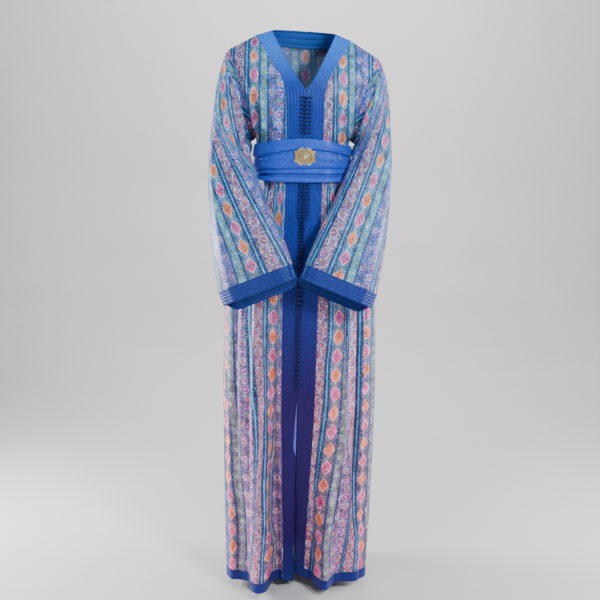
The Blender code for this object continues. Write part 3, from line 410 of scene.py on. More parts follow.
# The tones of the print's figures, from the heart (0) outwards, with None for bare cloth.
# Below, each figure's place across the repeat, rise, period up it and half width and height,
# in millimetres, its tones, and whether it is a lozenge
PINK_RING = ((0.0, "2e3c60"), (0.15, "5d5680"), (0.30, "c85488"), (0.56, "c2326c"),
             (0.78, "d86a98"), (0.88, "c8a8bc"))
ORANGE_RING = ((0.0, "5a4660"), (0.16, "b0604e"), (0.34, "ea7e44"), (0.60, "d8562c"),
               (0.80, "e8986a"), (0.90, "c8a8a4"))
# A curled frond is a fleck with thin pale arcs round it
AMBER_CURL = ((0.0, "dc8a44"), (0.20, "a83c54"), (0.36, None), (0.50, "cf8fae"), (0.60, None),
              (0.68, "4a3f78"), (0.75, None), (0.82, "f2d8e6"), (0.95, None))
ROSE_CURL = ((0.0, "c8487c"), (0.22, "7a4276"), (0.38, None), (0.50, "dca070"), (0.60, None),
             (0.70, "3a4678"), (0.77, None), (0.84, "ead2e6"), (0.96, None))
SCROLL = ((0.0, None), (0.38, "1f2f62"), (0.58, None), (0.80, "1f2f62"))
MAUVE_BLOOM = ((0.0, "e0a6bc"), (0.24, "a43e80"), (0.52, "66428a"), (0.82, "c8a6cc"))
PETAL = ((0.0, "b42e62"), (0.6, "7d3c70"))
AMBER = ((0.0, "d8883c"), (0.6, "a64a34"))
LEAF = ((0.0, "c4ba64"), (0.40, "3f7a62"), (0.76, "8fbab8"))
TWIG = ((0.0, "4f827c"),)
SEED = ((0.0, "33526e"),)
FIGURE_EDGE = 0.9               # where a figure's edge lies on its ramp of tones
LOZENGE_CORNER = 0.62           # 0 would draw a lozenge as an ellipse, 1 with straight sides
BARE = (0.0, 0.0, 0.0, 0.0)
FIGURES = (
    (62, 0, 103, (13.6, 23.5), PINK_RING, True), (62, 51.5, 103, (13.6, 23.5), ORANGE_RING, True),
    (50.6, 25.8, 51.5, (2.8, 5.0), SEED), (73.4, 25.8, 51.5, (2.8, 5.0), SEED),
    (56.0, 23.0, 51.5, (1.8, 2.8), TWIG), (68.0, 28.6, 51.5, (1.8, 2.8), TWIG),
    (62, 25.8, 51.5, (2.6, 3.0), ((0.0, "9a8f6c"),)),
    (12.2, 6.0, 51.5, (10.8, 13.6), AMBER_CURL),
    (19.8, 31.6, 51.5, (10.8, 13.6), ROSE_CURL),
    (25.8, 10.0, 51.5, (4.6, 8.6), AMBER_CURL),
    (5.8, 30.6, 51.5, (4.6, 8.6), ROSE_CURL),
    (27.4, 21.0, 51.5, (2.8, 4.4), AMBER), (4.6, 45.0, 51.5, (2.8, 4.4), PETAL),
    (14.6, 20.4, 51.5, (2.6, 3.4), PETAL), (17.0, 46.4, 51.5, (2.8, 3.4), AMBER),
    (87.4, 4.0, 51.5, (4.6, 7.4), LEAF), (91.2, 30.0, 51.5, (4.8, 7.0), LEAF),
    (91.6, 16.5, 51.5, (3.2, 4.4), TWIG), (86.4, 42.5, 51.5, (3.2, 4.4), TWIG),
    (84.0, 22.0, 25.75, (1.6, 4.4), TWIG), (94.8, 9.0, 25.75, (1.6, 4.4), TWIG),
    (110, 9.0, 51.5, (6.6, 8.4), ROSE_CURL), (111, 34.0, 51.5, (6.4, 9.0), SCROLL),
    (129, 3.0, 51.5, (8.2, 10.6), MAUVE_BLOOM), (120, 46.0, 51.5, (4.4, 4.0), SCROLL),
    (131, 28.0, 51.5, (6.8, 9.6), AMBER_CURL), (121, 20.0, 51.5, (4.6, 5.2), SCROLL),
    (124.0, 36.0, 51.5, (3.8, 4.6), LEAF),
)

# How finely the pieces are drawn
SKIRT_ROWS, BODICE_ROWS, HEM_ROWS, SLEEVE_ROWS, CUFF_ROWS = 190, 60, 5, 110, 40
NECK_ROWS, SLIT_ROWS, WAIST_ROWS = 30, 60, 7
FRONT_COLUMNS, BACK_COLUMNS, BAND_COLUMNS, SLEEVE_COLUMNS = 90, 150, 66, 128
NECK_COLUMNS, SLIT_COLUMNS = 96, 6
SHARP_ANGLE = math.radians(70)  # edges that turn more than this are drawn sharp
ROW_STEP = 0.004                # step that a surface's slope is measured over
TOP_LEVEL = 2 - 1.25 * ROW_STEP
LEVEL_MARGIN = 0.12             # share of a panel over which it turns to meet its seam


# ---------------------------------------------------------------- curves and surfaces

def follow(rows, key, wanted, at):
    """A column of a table, smoothly between its rows and never past them."""
    x = rows[key]
    y = rows[wanted]
    steep = np.diff(y) / np.diff(x)
    before, after = steep[:-1], steep[1:]
    same_way = before * after > 0
    middle = np.where(same_way, 2 * before * after / np.where(same_way, before + after, 1), 0)
    slope = np.concatenate([steep[:1], middle, steep[-1:]])
    at = np.clip(np.asarray(at, float), x[0], x[-1])
    i = np.clip(np.searchsorted(x, at, side="right") - 1, 0, len(x) - 2)
    gap = x[i + 1] - x[i]
    t = (at - x[i]) / gap
    near = (1 + 2 * t) * (1 - t) ** 2 * y[i] + t * (1 - t) ** 2 * gap * slope[i]
    far = t * t * (3 - 2 * t) * y[i + 1] + t * t * (t - 1) * gap * slope[i + 1]
    return near + far


def ease(low, high, value):
    """0 below low, 1 above high, and smooth between."""
    t = np.clip((value - low) / (high - low), 0.0, 1.0)
    return t * t * (3 - 2 * t)


def unit(vectors):
    """The same directions, each one long."""
    return vectors / np.linalg.norm(vectors, axis=-1, keepdims=True)


def join(*parts):
    """Coordinates as points."""
    return np.stack(np.broadcast_arrays(*parts), axis=-1)


def settle(points):
    """The hang of the whole garment: a wandering centre front and tilted shoulders."""
    x, y, z = np.moveaxis(np.asarray(points, float), -1, 0)
    shift = follow(CENTRE, "height", "shift", z) * np.exp(-(x / CENTRE_REACH) ** 2)
    return join(x + shift, y, z - SHOULDER_TILT * x * ease(*TILT_REACH, z))


def fold_out(folds, place, z):
    """How far the skirt stands out at a place round it, growing towards the hem."""
    growth = [ease(0.0, 1.0, (start - z) / (start - HEM_Z)) for start in folds["start"]]
    out = 0.0
    for k, spot in enumerate(folds["place"]):
        one = {"place": folds["place"], "out": np.where(folds["place"] == spot,
                                                       folds["out"][k], 0.0)}
        out = out + follow(one, "place", "out", place) * growth[k]
    return out


def armhole(turn, face):
    """The armhole of the left side, from the underarm (0) to the shoulder tip (1)."""
    angle = math.pi * (1 - turn)
    middle = (TIP_Z + UNDERARM_Z) / 2
    z = middle + ARMHOLE_HEIGHT / 2 * np.cos(angle)
    share = (z - UNDERARM_Z) / ARMHOLE_HEIGHT
    x = UNDERARM_X + (TIP_X - UNDERARM_X) * (0.80 * share + 0.20 * share ** 3)
    return join(x, face * ARMHOLE_DEPTH * np.sin(angle), z)


def armhole_normal(turn, face):
    """Square to the seam of the left armhole: sideways at the underarm, up at the tip."""
    angle = math.pi * (1 - turn)
    tip = shoulder_normal(1)
    grown = ease(0.0, 0.5, turn)
    return unit(join(1 + (tip[0] - 1) * grown, tip[2] * grown * face * np.sin(angle),
                     tip[2] * grown * np.cos(angle)))


def skirt_front(across, z, side):
    """Below the armhole: across is -1 at the slit, 0 at the band's seam, 1 at the side."""
    band = follow(BODY, "height", "band_l" if side > 0 else "band_r", z)
    wide = follow(BODY, "height", "side", z)
    deep = follow(BODY, "height", "front", z)
    folds = LEFT_FOLDS if side > 0 else RIGHT_FOLDS
    turn = np.clip(across, 0, 1) * math.pi / 2
    out = fold_out(folds, np.clip(across, 0, 1), z)
    x = band + (wide - band) * np.sin(turn) + out * np.sin(turn)
    y = -deep * np.cos(turn) - out * np.cos(turn)
    on_band = np.clip(-across, 0, 1)
    x = x - band * on_band
    y = y + follow(SLIT, "height", "inset", z) * on_band
    return join(side * x, y, z)


def skirt_back(across, z):
    """The back below the armhole, across from the right side (-1) to the left (1)."""
    wide = follow(BODY, "height", "side", z)
    deep = follow(BODY, "height", "back", z)
    turn = across * math.pi / 2
    out = fold_out(BACK_FOLDS, across, z)
    return join((wide + out) * np.sin(turn), (deep + out) * np.cos(turn), z)


def patch(bottom, top, near, far, u, v, corners):
    """A surface through four edges, with u across and v up."""
    u = u[..., None]
    v = v[..., None]
    c00, c10, c01, c11 = corners
    ruled = (1 - v) * bottom + v * top + (1 - u) * near + u * far
    return ruled - ((1 - u) * (1 - v) * c00 + u * (1 - v) * c10
                    + (1 - u) * v * c01 + u * v * c11)


def band_edge(which, rise):
    """One edge of the left front band above the belt."""
    x, y, z = (follow(NECKLINE, "rise", f"{which}_{axis}", rise) for axis in "xyz")
    return join(np.maximum(x, 0.0), y, z)


def bodice_front(across, rise, side):
    """Above the belt: across as in skirt_front, rise 0 at the underarm, 1 at the shoulder."""
    flip = np.array([side, 1.0, 1.0])
    u = np.clip(across, 0, 1)
    start = skirt_front(u, np.full_like(u, UNDERARM_Z), side) * flip
    seam, tip = SHOULDER_SEAM
    top = seam + (tip - seam) * u[..., None]
    near = band_edge("sewn", rise)
    far = armhole(rise, -1)
    zero = np.zeros(1)
    c00 = skirt_front(zero, zero + UNDERARM_Z, side)[0] * flip
    c10 = skirt_front(zero + 1, zero + UNDERARM_Z, side)[0] * flip
    near = near + (c00 - band_edge("sewn", zero)[0]) * (1 - rise)[..., None]
    panel = patch(start, top, near, far, u, rise, (c00, c10, seam, tip))
    on_band = np.clip(-across, 0, 1)[..., None]
    return (panel + (band_edge("edge", rise) - near) * on_band) * flip


def front(across, up, side):
    """A front, from the hem (up 0) through the underarm (1) to the shoulder (2)."""
    across, up = np.broadcast_arrays(np.asarray(across, float), np.asarray(up, float))
    z = HEM_Z + SKIRT_HEIGHT * np.clip(up, 0, 1)
    rise = np.clip(up - 1, 0, 1)
    low = skirt_front(across, z, side)
    if side < 0:
        hang = CORNER_DROP * np.clip(across, -1, 0) * (1 - ease(0, 2 * HEM_SHARE, up))
        low = low + join(0.0, 0.0, hang)
    high = bodice_front(across, rise, side)
    return np.where((up > 1)[..., None], high, low)


def yoke(angle, inner):
    """An edge of the neck band round the back, from the left shoulder (0) to the right."""
    if inner:
        return join(NECK_X * np.cos(angle), NECK_Y * np.sin(angle),
                    NECK_RISE * np.sin(angle))
    return join(YOKE_X * np.cos(angle), YOKE_Y * np.sin(angle),
                YOKE_Z - YOKE_DROP * np.sin(angle))


def yoke_normal(angle):
    """Square to the seam between the neck band and the back."""
    across = np.cos(angle)[..., None]
    shoulder = shoulder_normal(1) * join(across[..., 0], 1.0 + 0 * angle, np.abs(across[..., 0]))
    return unit(shoulder + np.sin(angle)[..., None] * np.array(NAPE_NORMAL))


def back_top(across):
    """The top edge of the back: shoulder seam, neck, shoulder seam."""
    size = np.abs(across)
    along_neck = yoke(math.pi / 2 * (1 - np.clip(size / NECK_SHARE, 0, 1)), False)
    out = np.clip((size - NECK_SHARE) / (1 - NECK_SHARE), 0, 1)[..., None]
    seam, tip = SHOULDER_SEAM
    edge = np.where(out > 0, seam + (tip - seam) * out, along_neck)
    return edge * join(np.where(across < 0, -1.0, 1.0), 1.0, 1.0)


def back(across, up):
    """The back, from the hem (up 0) through the underarm (1) to its top edge (2)."""
    across, up = np.broadcast_arrays(np.asarray(across, float), np.asarray(up, float))
    z = HEM_Z + SKIRT_HEIGHT * np.clip(up, 0, 1)
    low = skirt_back(across, z)
    rise = np.clip(up - 1, 0, 1)
    start = skirt_back(across, np.full_like(across, UNDERARM_Z))
    left = armhole(rise, 1)
    right = left * np.array([-1.0, 1.0, 1.0])
    ends = np.array([-1.0, 1.0])
    corners = [*skirt_back(ends, ends * 0 + UNDERARM_Z), *back_top(ends)]
    u = (across + 1) / 2
    high = patch(start, back_top(across), right, left, u, rise, corners)
    hollow = BACK_HOLLOW * np.sin(math.pi * rise) * np.cos(across * math.pi / 2)
    high = high - join(0.0, hollow, 0.0)
    return np.where((up > 1)[..., None], high, low)


def sleeve_frame(station):
    """Centre, outward and forward half axes of the left sleeve at a station (0 to 1)."""
    rows = dict(SLEEVE, station=np.linspace(0, 1, len(SLEEVE["tilt"])))
    outer = join(*(follow(rows, "station", f"outer_{axis}", station) for axis in "xyz"))
    inner = join(*(follow(rows, "station", f"inner_{axis}", station) for axis in "xyz"))
    wide = (outer - inner) / 2
    tilt = np.radians(follow(rows, "station", "tilt", station))
    ahead = join(0.0 * tilt, -np.cos(tilt), np.sin(tilt))
    along = unit(wide)
    ahead = unit(ahead - along * np.sum(ahead * along, axis=-1, keepdims=True))
    ahead = ahead * follow(rows, "station", "depth", station)[..., None]
    return (outer + inner) / 2, wide, ahead


def sleeve(turn, station, side):
    """A sleeve: turn runs once round it from the outer fold, by the front."""
    turn, station = np.broadcast_arrays(np.asarray(turn, float), np.asarray(station, float))
    centre, wide, ahead = sleeve_frame(np.clip(station, 0, 1))
    # Its section turns from an ellipse by the armhole into one with a flatter front
    power = 2 / (2 + (SLEEVE_FULLNESS - 2) * ease(0.15, 0.6, station))
    cosine = np.cos(turn)
    sine = np.sin(turn)
    cosine = np.sign(cosine) * np.abs(cosine) ** power
    sine = np.sign(sine) * np.abs(sine) ** power
    ring = centre + cosine[..., None] * wide + sine[..., None] * ahead
    # It starts on the armhole's own curve, and leaves it over the first third
    share = np.arccos(np.clip(-np.cos(turn), -1, 1)) / math.pi
    hole = armhole(share, np.where(np.sin(turn) > 0, -1.0, 1.0))
    step = SLEEVE_GAP + UNDERARM_GAP * ease(0.45, 0.1, share)
    first, across, forth = sleeve_frame(np.zeros_like(station))
    start = first + np.cos(turn)[..., None] * across + np.sin(turn)[..., None] * forth
    eased = ease(0.35, 0.0, station)[..., None]
    ring = ring + (hole + join(step, 0.0, 0.0) - start) * eased
    fall = unit(np.cross(ahead, wide))
    fall = fall * np.where(fall[..., 2:] > 0, -1, 1)
    # The back of its mouth hangs lower, and the cuff's levels lie past station 1
    lag = BACK_LAG * ease(0.0, 0.8, -np.sin(turn)) * ease(0.7, 1.0, station)
    inward = (1 + np.cos(turn)) / 2
    ring = ring + fall * np.clip(station - 1, 0, None)[..., None]
    ring = ring + fall * join(inward * lag, lag, lag)
    ring = ring * np.array([side, 1.0, 1.0])
    return ring + join(SLEEVE_SHIFT * ease(0.1, 0.6, station), 0.0, 0.0)


def outward(surface, u, v):
    """Unit normals of a surface, whose u runs right and v up as seen from outside."""
    across = surface(u + ROW_STEP, v) - surface(u - ROW_STEP, v)
    up = surface(u, v + ROW_STEP) - surface(u, v - ROW_STEP)
    return unit(np.cross(across, up))


def side_edge(side, face):
    """The direction of the thickness up a side seam and then round the armhole."""
    def direction(up):
        seam = join(1.0 + 0 * up, 0.0, 0.0)
        hole = armhole_normal(np.clip(up - 1, 0, 1), face)
        return np.where((up > 1)[:, None], hole, seam) * np.array([side, 1.0, 1.0])

    return direction


def printed_part(side):
    """A front's printed part: where it lies across, and the directions at its edges."""
    edge = side_edge(side, -1)
    return ((0.0, 1.0), (None, edge)) if side > 0 else ((-1.0, 0.0), (edge, None))


def band_part(side):
    """The same for a front's band."""
    return ((-1.0, 0.0), (ahead, None)) if side > 0 else ((0.0, 1.0), (None, ahead))


def back_part():
    """The same for the back."""
    return (-1.0, 1.0), (side_edge(1, 1), side_edge(-1, 1))


def ahead(up):
    """The direction of the thickness down the slit."""
    return join(0 * up, -1.0, 0.0)


def shoulder_normal(side):
    """Square to the shoulder seam, so that front and back meet face to face."""
    slope = math.atan2(YOKE_Z - TIP_Z, TIP_X - YOKE_X)
    return np.array([side * math.sin(slope), 0.0, math.cos(slope)])


def body_ring(turn):
    """The body's section at the belt: turn 0 at the centre front, 1 all the way round."""
    turn = np.mod(turn, 1.0)
    side = np.where(turn < 0.5, 1.0, -1.0)
    way = np.minimum(turn, 1 - turn) * 4
    level = np.full_like(turn, BELT_LEVEL)
    across = np.where(way < BAND_WAY, way / BAND_WAY - 1, (way - BAND_WAY) / (1 - BAND_WAY))
    ahead = join(side, 1.0, 1.0) * skirt_front(np.clip(across, -1, 1), level, 1)
    behind = skirt_back(side * (2 - np.clip(way, 1, 2)), level)
    return np.where((way > 1)[..., None], behind, ahead)


def belt_ring(turn, z, out):
    """A ring at the belt, so far outside the body and at height z."""
    along = unit(body_ring(turn + ROW_STEP) - body_ring(turn - ROW_STEP))
    square = join(along[..., 1], -along[..., 0], 0.0)
    spot = body_ring(turn) + square * np.broadcast_to(out, np.shape(turn))[..., None]
    return join(spot[..., 0], spot[..., 1], z)


def belt_height(turn, share):
    """The belt's rows, from its bottom edge (0) to its top edge (1), arched at the front."""
    arch = BELT_ARCH * np.clip(np.cos(2 * math.pi * turn), 0, 1) ** ARCH_SHARPNESS
    return BELT_BOTTOM + (BELT_TOP - BELT_BOTTOM + arch) * share


def slit_front(z):
    """The face of the front bands at the slit, at given heights."""
    rows = np.linspace(0, 1.6, 400)
    edge = front(np.full_like(rows, -1.0), rows, 1)
    return np.interp(z, edge[:, 2], edge[:, 1]) - CLOTH


# ---------------------------------------------------------------- sheets of cloth

def creased(rows, x, z, widths=(0.55, 1.30), fades=(0.22, 0.72)):
    """How far the cloth stands out where its creases run.

    widths are a crease's at its two ends, as shares of the stated one. It fades in up to
    the first of fades, as a share of its length, and out from the second.
    """
    deep = bpy.context.scene.caftan_sizes.crease
    out = 0.0
    for x0, z0, x1, z1, width, size in zip(*rows.values()):
        along = (z - z0) / (z1 - z0)
        spread = width * (widths[0] + (widths[1] - widths[0]) * np.clip(along, 0, 1))
        fade = ease(0.0, fades[0], along) * ease(1.0, fades[1], along)
        out = out + deep * size * fade * np.exp(-((x - x0 - (x1 - x0) * along) / spread) ** 2)
    return out


def gathers(x, near_belt, count):
    """Small uneven gathers, which die away from the belt."""
    wave = np.sin(count * x * math.pi + 1.3 * np.sin(7.1 * x + 0.4))
    fine = np.sin(2.3 * count * x * math.pi + 2.1 * np.sin(4.3 * x))
    return near_belt * GATHER * (1.5 * wave + 0.9 * fine)


def grid_faces(rows, columns, closed):
    """The corners of a grid's faces, as their rows and their columns."""
    i, j = np.meshgrid(np.arange(rows - 1), np.arange(columns if closed else columns - 1),
                       indexing="ij")
    i, j = i.ravel(), j.ravel()
    return np.stack([i, i, i + 1, i + 1], 1), np.stack([j, j + 1, j + 1, j], 1)


def placed(name, data):
    """A new object in the scene, made from its data."""
    made = bpy.data.objects.new(name, data)
    bpy.context.collection.objects.link(made)
    return made


def cloth_mesh(name, outer, inner, cloth, closed=False):
    """One closed sheet: an outer and an inner grid of points, and the rim between them.

    cloth holds each point's place on the flat cloth, in metres. A closed sheet is a tube,
    whose cloth has one column more than its points.
    """
    rows, columns = outer.shape[:2]
    total = rows * columns
    wide = cloth.shape[1]
    faces = []
    places = []

    def put(i, j, layer):
        faces.append(layer * total + i * columns + j % columns)
        places.append(i * wide + j)

    i, j = grid_faces(rows, columns, closed)
    put(i, j, 0)
    put(i[:, ::-1], j[:, ::-1], 1)
    step = np.arange(columns if closed else columns - 1)
    rise = np.arange(rows - 1)
    zero = np.zeros(4, int)
    rims = [(0 * step[:, None] + zero, step[:, None] + np.array([1, 0, 0, 1])),
            ((rows - 1) + 0 * step[:, None] + zero, step[:, None] + np.array([0, 1, 1, 0]))]
    if not closed:
        rims += [(rise[:, None] + np.array([0, 1, 1, 0]), 0 * rise[:, None] + zero),
                 (rise[:, None] + np.array([1, 0, 0, 1]), columns - 1 + 0 * rise[:, None] + zero)]
    for i, j in rims:
        put(i, j, np.array([0, 0, 1, 1]))
    faces = np.concatenate(faces)
    places = np.concatenate(places)
    points = settle(np.concatenate([outer.reshape(-1, 3), inner.reshape(-1, 3)]))
    across = points[faces[:, 1]] - points[faces[:, 0]]
    up = points[faces[:, 3]] - points[faces[:, 0]]
    if np.sum(points[faces[:, 0]] * np.cross(across, up)) < 0:
        faces, places = faces[:, ::-1], places[:, ::-1]
    mesh = bpy.data.meshes.new(name)
    mesh.from_pydata(points.tolist(), [], faces.tolist())
    layer = mesh.uv_layers.new(name="cloth")
    layer.data.foreach_set("uv", cloth.reshape(-1, 2)[places].ravel())
    inside = mesh.attributes.new("inside", "FLOAT", "POINT")
    inside.data.foreach_set("value", np.repeat([0.0, 1.0], total))
    mesh.shade_smooth()
    mesh.set_sharp_from_angle(angle=SHARP_ANGLE)
    return placed(name, mesh)


def enrol(piece, slot, look, *nodes):
    """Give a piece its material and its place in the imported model."""
    piece.data.materials.append(look)
    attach(piece, "root")
    if nodes:
        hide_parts(*nodes)
    return piece


def panel(name, surface, part, rows, columns, relief, lie, top=None):
    """A sheet over a part of a surface, kept half a seam inside its edges.

    part holds where it starts and ends across the surface and, for either edge, the
    direction of the thickness there, or None. relief gives how far the cloth stands out
    and lie its place on the flat cloth, both from the place across, the level and the
    points themselves. top gives the direction of the thickness along the top, if any.
    """
    (start, end), edges = part
    share = np.linspace(0, 1, columns + 1)[None, :]
    rows = np.asarray(rows, float)[:, None]
    near = surface(np.full_like(rows, start), rows)[:, 0]
    far = surface(np.full_like(rows, end), rows)[:, 0]
    length = np.maximum(np.linalg.norm(far - near, axis=-1), 0.01)
    inset = ((end - start) * SEAM / 2 / length)[:, None]
    u = start + (end - start) * share + inset * (1 - 2 * share)
    v = np.minimum(rows, 2 - SEAM / 2 / ARMHOLE_HEIGHT) + 0 * u
    points = surface(u, v)
    level = np.clip(rows, ROW_STEP, TOP_LEVEL) + 0 * u
    normal = outward(surface, u, level)
    for edge, own in zip(edges, (share, 1 - share)):
        if edge is not None:
            weight = ease(LEVEL_MARGIN, 0.0, own)[..., None]
            normal = normal * (1 - weight) + edge(rows[:, 0])[:, None] * weight
    if top is not None:
        weight = ease(2 - LEVEL_MARGIN, 2.0, rows)[..., None]
        normal = normal * (1 - weight) + top(u[-1])[None] * weight
    normal = unit(normal)
    outer = points + normal * (CLOTH + relief(u, v, points))[..., None]
    inner = outer - normal * bpy.context.scene.caftan_sizes.cloth
    return cloth_mesh(name, outer, inner, lie(u, v, outer))


def along_rows(points):
    """Distance along each row of points from its first."""
    step = np.linalg.norm(np.diff(points, axis=1), axis=-1)
    return np.concatenate([np.zeros((len(points), 1)), np.cumsum(step, axis=1)], axis=1)


def up_columns(points):
    """Distance up each column of points from its first."""
    return along_rows(np.swapaxes(points, 0, 1)).T


def skirt_print(side, points):
    """How far across the print each point of a skirt's front lies.

    The lines are charted as they look from in front. Past the last of them that faces the
    front, where the skirt turns away, the cloth runs on at its own width.
    """
    rows = np.array(SKIRT_PRINT[side])
    lines = np.array(SKIRT_LINES[side])
    own = points if side > 0 else points[:, ::-1]
    around = along_rows(own)
    across = np.empty_like(around)
    for k, x in enumerate(side * own[..., 0]):
        widest = int(np.argmax(x)) + 1
        share = np.maximum.accumulate((x[:widest] - x[0]) / (x[widest - 1] - x[0]))
        z = own[k, :, 2].mean()
        at = np.array([np.interp(z, rows[:, 0], rows[:, c]) for c in range(1, rows.shape[1])])
        faces = at <= TURNS_AWAY
        place, line = np.interp(at[faces], share, around[k, :widest]), lines[faces]
        rate = (line[1] - line[0]) / (place[1] - place[0])
        place = np.concatenate([[place[0] - 0.1], place, [place[-1] + 1.0]])
        line = np.concatenate([[line[0] - 0.1 * rate], line, [line[-1] + np.sign(rate)]])
        across[k] = np.interp(around[k], place, line)
    return across if side > 0 else across[:, ::-1]


def body_print(kind, side):
    """Where the printed cloth lies on a panel of the bodice or of the skirt."""
    def lie(u, v, points):
        x = points[..., 0]
        if kind == "skirt" and side:
            return join(skirt_print(side, points), points[..., 2])
        if kind == "skirt":
            return join(BACK_PRINT[0] + BACK_PRINT[1] * u, points[..., 2])
        span = np.abs(x) + CHEST_ROUND * np.abs(x) ** 3
        if side:
            start, sense = BODICE_PRINT[side]
            across = start + sense * span
        else:
            across = BACK_PRINT[0] + np.sign(u) * span
        upright = points * np.array([0.0, 1.0, 1.0])
        return join(across, WAIST_Z + up_columns(upright))

    return lie


def plain_lie(u, v, points):
    """Where plain cloth lies, along its rows and up its columns."""
    return join(along_rows(points), up_columns(points))


def skirt_levels(low):
    """Rows of the skirt's pieces from a height share to the waist seam."""
    return np.linspace(low, WAIST_SHARE - SEAM / SKIRT_HEIGHT / 2, SKIRT_ROWS + 1)


def bodice_levels():
    """Rows of the bodice's pieces from the waist seam to the shoulder."""
    low = WAIST_SHARE + SEAM / SKIRT_HEIGHT / 2
    return np.concatenate([np.linspace(low, 1, WAIST_ROWS + 1)[:-1],
                           1 + np.linspace(0, 1, BODICE_ROWS + 1)])


def body_relief(kind, side):
    """The creases and gathers of a panel, which stay shallow at its seams and the belt."""
    creases = (SKIRT_CREASES if kind == "skirt" else BODICE_CREASES)[side]
    count = FRONT_GATHERS if side else BACK_GATHERS

    def relief(u, v, points):
        z = points[..., 2]
        x = np.abs(u) if side else u
        near_belt = ease(*GATHER_REACH[kind], z)
        keep = ease(0.0, 0.05, 1 - np.abs(u))
        if side:
            keep = keep * ease(0.0, 0.04, np.abs(u))
        at_top = ease(0.0, 0.25, 2 - v)
        out = creased(creases, x, z) + gathers(x, near_belt, count)
        under_belt = ease(*UNDER_BELT[0], z) * ease(*UNDER_BELT[1], z)
        return np.where(under_belt > 0, np.minimum(out, GATHER), out) * keep * at_top

    return relief


def front_surface(side):
    """A half of the front, with u running right as seen from in front."""
    return lambda u, v: front(side * u, v, side)


def back_surface(u, v):
    """The back, with u running right as seen from behind."""
    return back(-u, v)


def hem_fold(side):
    """The creases of the skirt, carried down over the hem band."""
    skirt = body_relief("skirt", side)
    return lambda u, v, points: skirt(u, v, points) + HEM_RAISE


def tucked(share, count):
    """Rounded pin-tucks, count of them evenly across."""
    place = share * count % 1.0 - 0.5
    return np.exp(-(place / TUCK_WIDTH) ** 2)


def band_relief(u, v, points):
    """Pin-tucks along a front band, and its slight waviness."""
    size = bpy.context.scene.caftan_sizes.tuck
    z = points[..., 2]
    waves = BAND_WAVES * np.sin(z * 61 + 3 * u) * np.sin(z * 23 + 1)
    return size * tucked(np.abs(u), BAND_TUCKS) - size * 0.15 + waves * ease(0, 0.3, np.abs(u))


def seam_up(side):
    """The direction of the thickness along a shoulder seam."""
    return lambda u: np.broadcast_to(shoulder_normal(side), (*np.shape(u), 3))


def nape_up(u):
    """The direction of the thickness along the back's top edge."""
    return yoke_normal(math.pi / 2 * (1 + np.clip(u / NECK_SHARE, -1, 1)))


def sleeve_surface(side):
    """A sleeve: u once round it from the underarm by the front, v down it to the cuff."""
    return lambda u, v: sleeve(math.pi * (1 - 2 * u), v, side)


def sleeve_print(side, levels, points):
    """Where the printed cloth lies on a sleeve, as its stripes slant down to the cuff."""
    line = SLEEVE_LINES[side]
    height = np.linspace(-0.80, 0.10, 181)
    x = np.polyval(np.polyfit(line["height"], line["x"], 4), height)
    slope = np.gradient(x, height)
    length = np.cumsum(np.hypot(slope, 1.0)) * (height[1] - height[0])
    half = points.shape[1] // 2
    z = points[:, :half + 1, 2]
    lean = np.hypot(np.interp(z, height, slope), 1.0)
    step = np.linalg.norm(np.diff(points[:, :half + 1, :2], axis=1), axis=-1)
    around = np.concatenate([np.zeros((len(z), 1)), np.cumsum(step, axis=1)], axis=1)
    out = side * (points[:, :half + 1, 0] - np.interp(z, height, x))
    out = np.maximum.accumulate(out, axis=1)
    away = np.stack([ring - np.interp(0, far, ring) + max(far[0], 0) + min(far[-1], 0)
                     for ring, far in zip(around, out)])
    across = SLEEVE_LINE_ACROSS + away / lean
    run = -away * side * np.interp(z, height, slope) / lean - np.interp(z, height, length)
    across = np.concatenate([across, 2 * across[:, -1:] - across[:, -2::-1]], axis=1)
    run = np.concatenate([run, run[:, -2::-1]], axis=1)
    # In the fold beside the armhole the cloth is turned, so that its stripes run back up
    u, v = np.meshgrid(np.arange(points.shape[1]) / (points.shape[1] - 1), levels)
    turned = v < fold_line(u) * 0.95
    x, z = side * points[..., 0], points[..., 2]
    aside, rise = FOLD_STRIPES
    across = np.where(turned, FOLD_PRINT + rise * x - aside * z, across)
    run = np.where(turned, aside * x + rise * z, run)
    return join(across, run)


def fold_line(u):
    """Where the fold beside the armhole lies, down the sleeve, at places round it."""
    return FOLD_LINE * np.sqrt(np.clip(np.sin(2 * math.pi * np.clip(u, 0, 0.5)), 0, 1))


def armhole_fold(u, v):
    """The trough beside the armhole's front and the soft ridge past it, from -1 to 1."""
    line = fold_line(u)
    strong = line / FOLD_LINE
    trough = np.exp(-((v - TROUGH[0] * line) / (TROUGH[1] * line + 0.004)) ** 2)
    ridge = RIDGE[2] * np.exp(-((v - RIDGE[0] * line) / RIDGE[1]) ** 2)
    return strong * (ridge - trough) * ease(0.0, 0.012, v)


def sleeve_edge(side, u):
    """The direction of the thickness round the armhole, and how far it is kept to."""
    rise = 1 - np.abs(1 - 2 * u)
    face = np.where((u > 0) & (u < 0.5), -1.0, 1.0)
    seam = armhole_normal(rise, face) * np.array([side, 1.0, 1.0])
    return seam, 1 - ease(0.35, 0.05, rise)


def sleeve_grid(side, levels, relief, out_of=None):
    """A sleeve's outer points and the direction of its thickness, at the given levels."""
    surface = sleeve_surface(side)
    share = np.arange(SLEEVE_COLUMNS) / SLEEVE_COLUMNS
    u, v = np.meshgrid(share, levels)
    points = surface(u, v)
    level = np.clip(v, ROW_STEP, 1 - ROW_STEP) if out_of is None else np.full_like(v, out_of)
    normal = -side * outward(surface, u, level)
    seam, hold = sleeve_edge(side, u)
    weight = (ease(0.12, 0.0, v) * hold)[..., None]
    normal = unit(normal * (1 - weight) + seam * weight)
    return points + normal * (CLOTH + relief(u, v))[..., None], normal


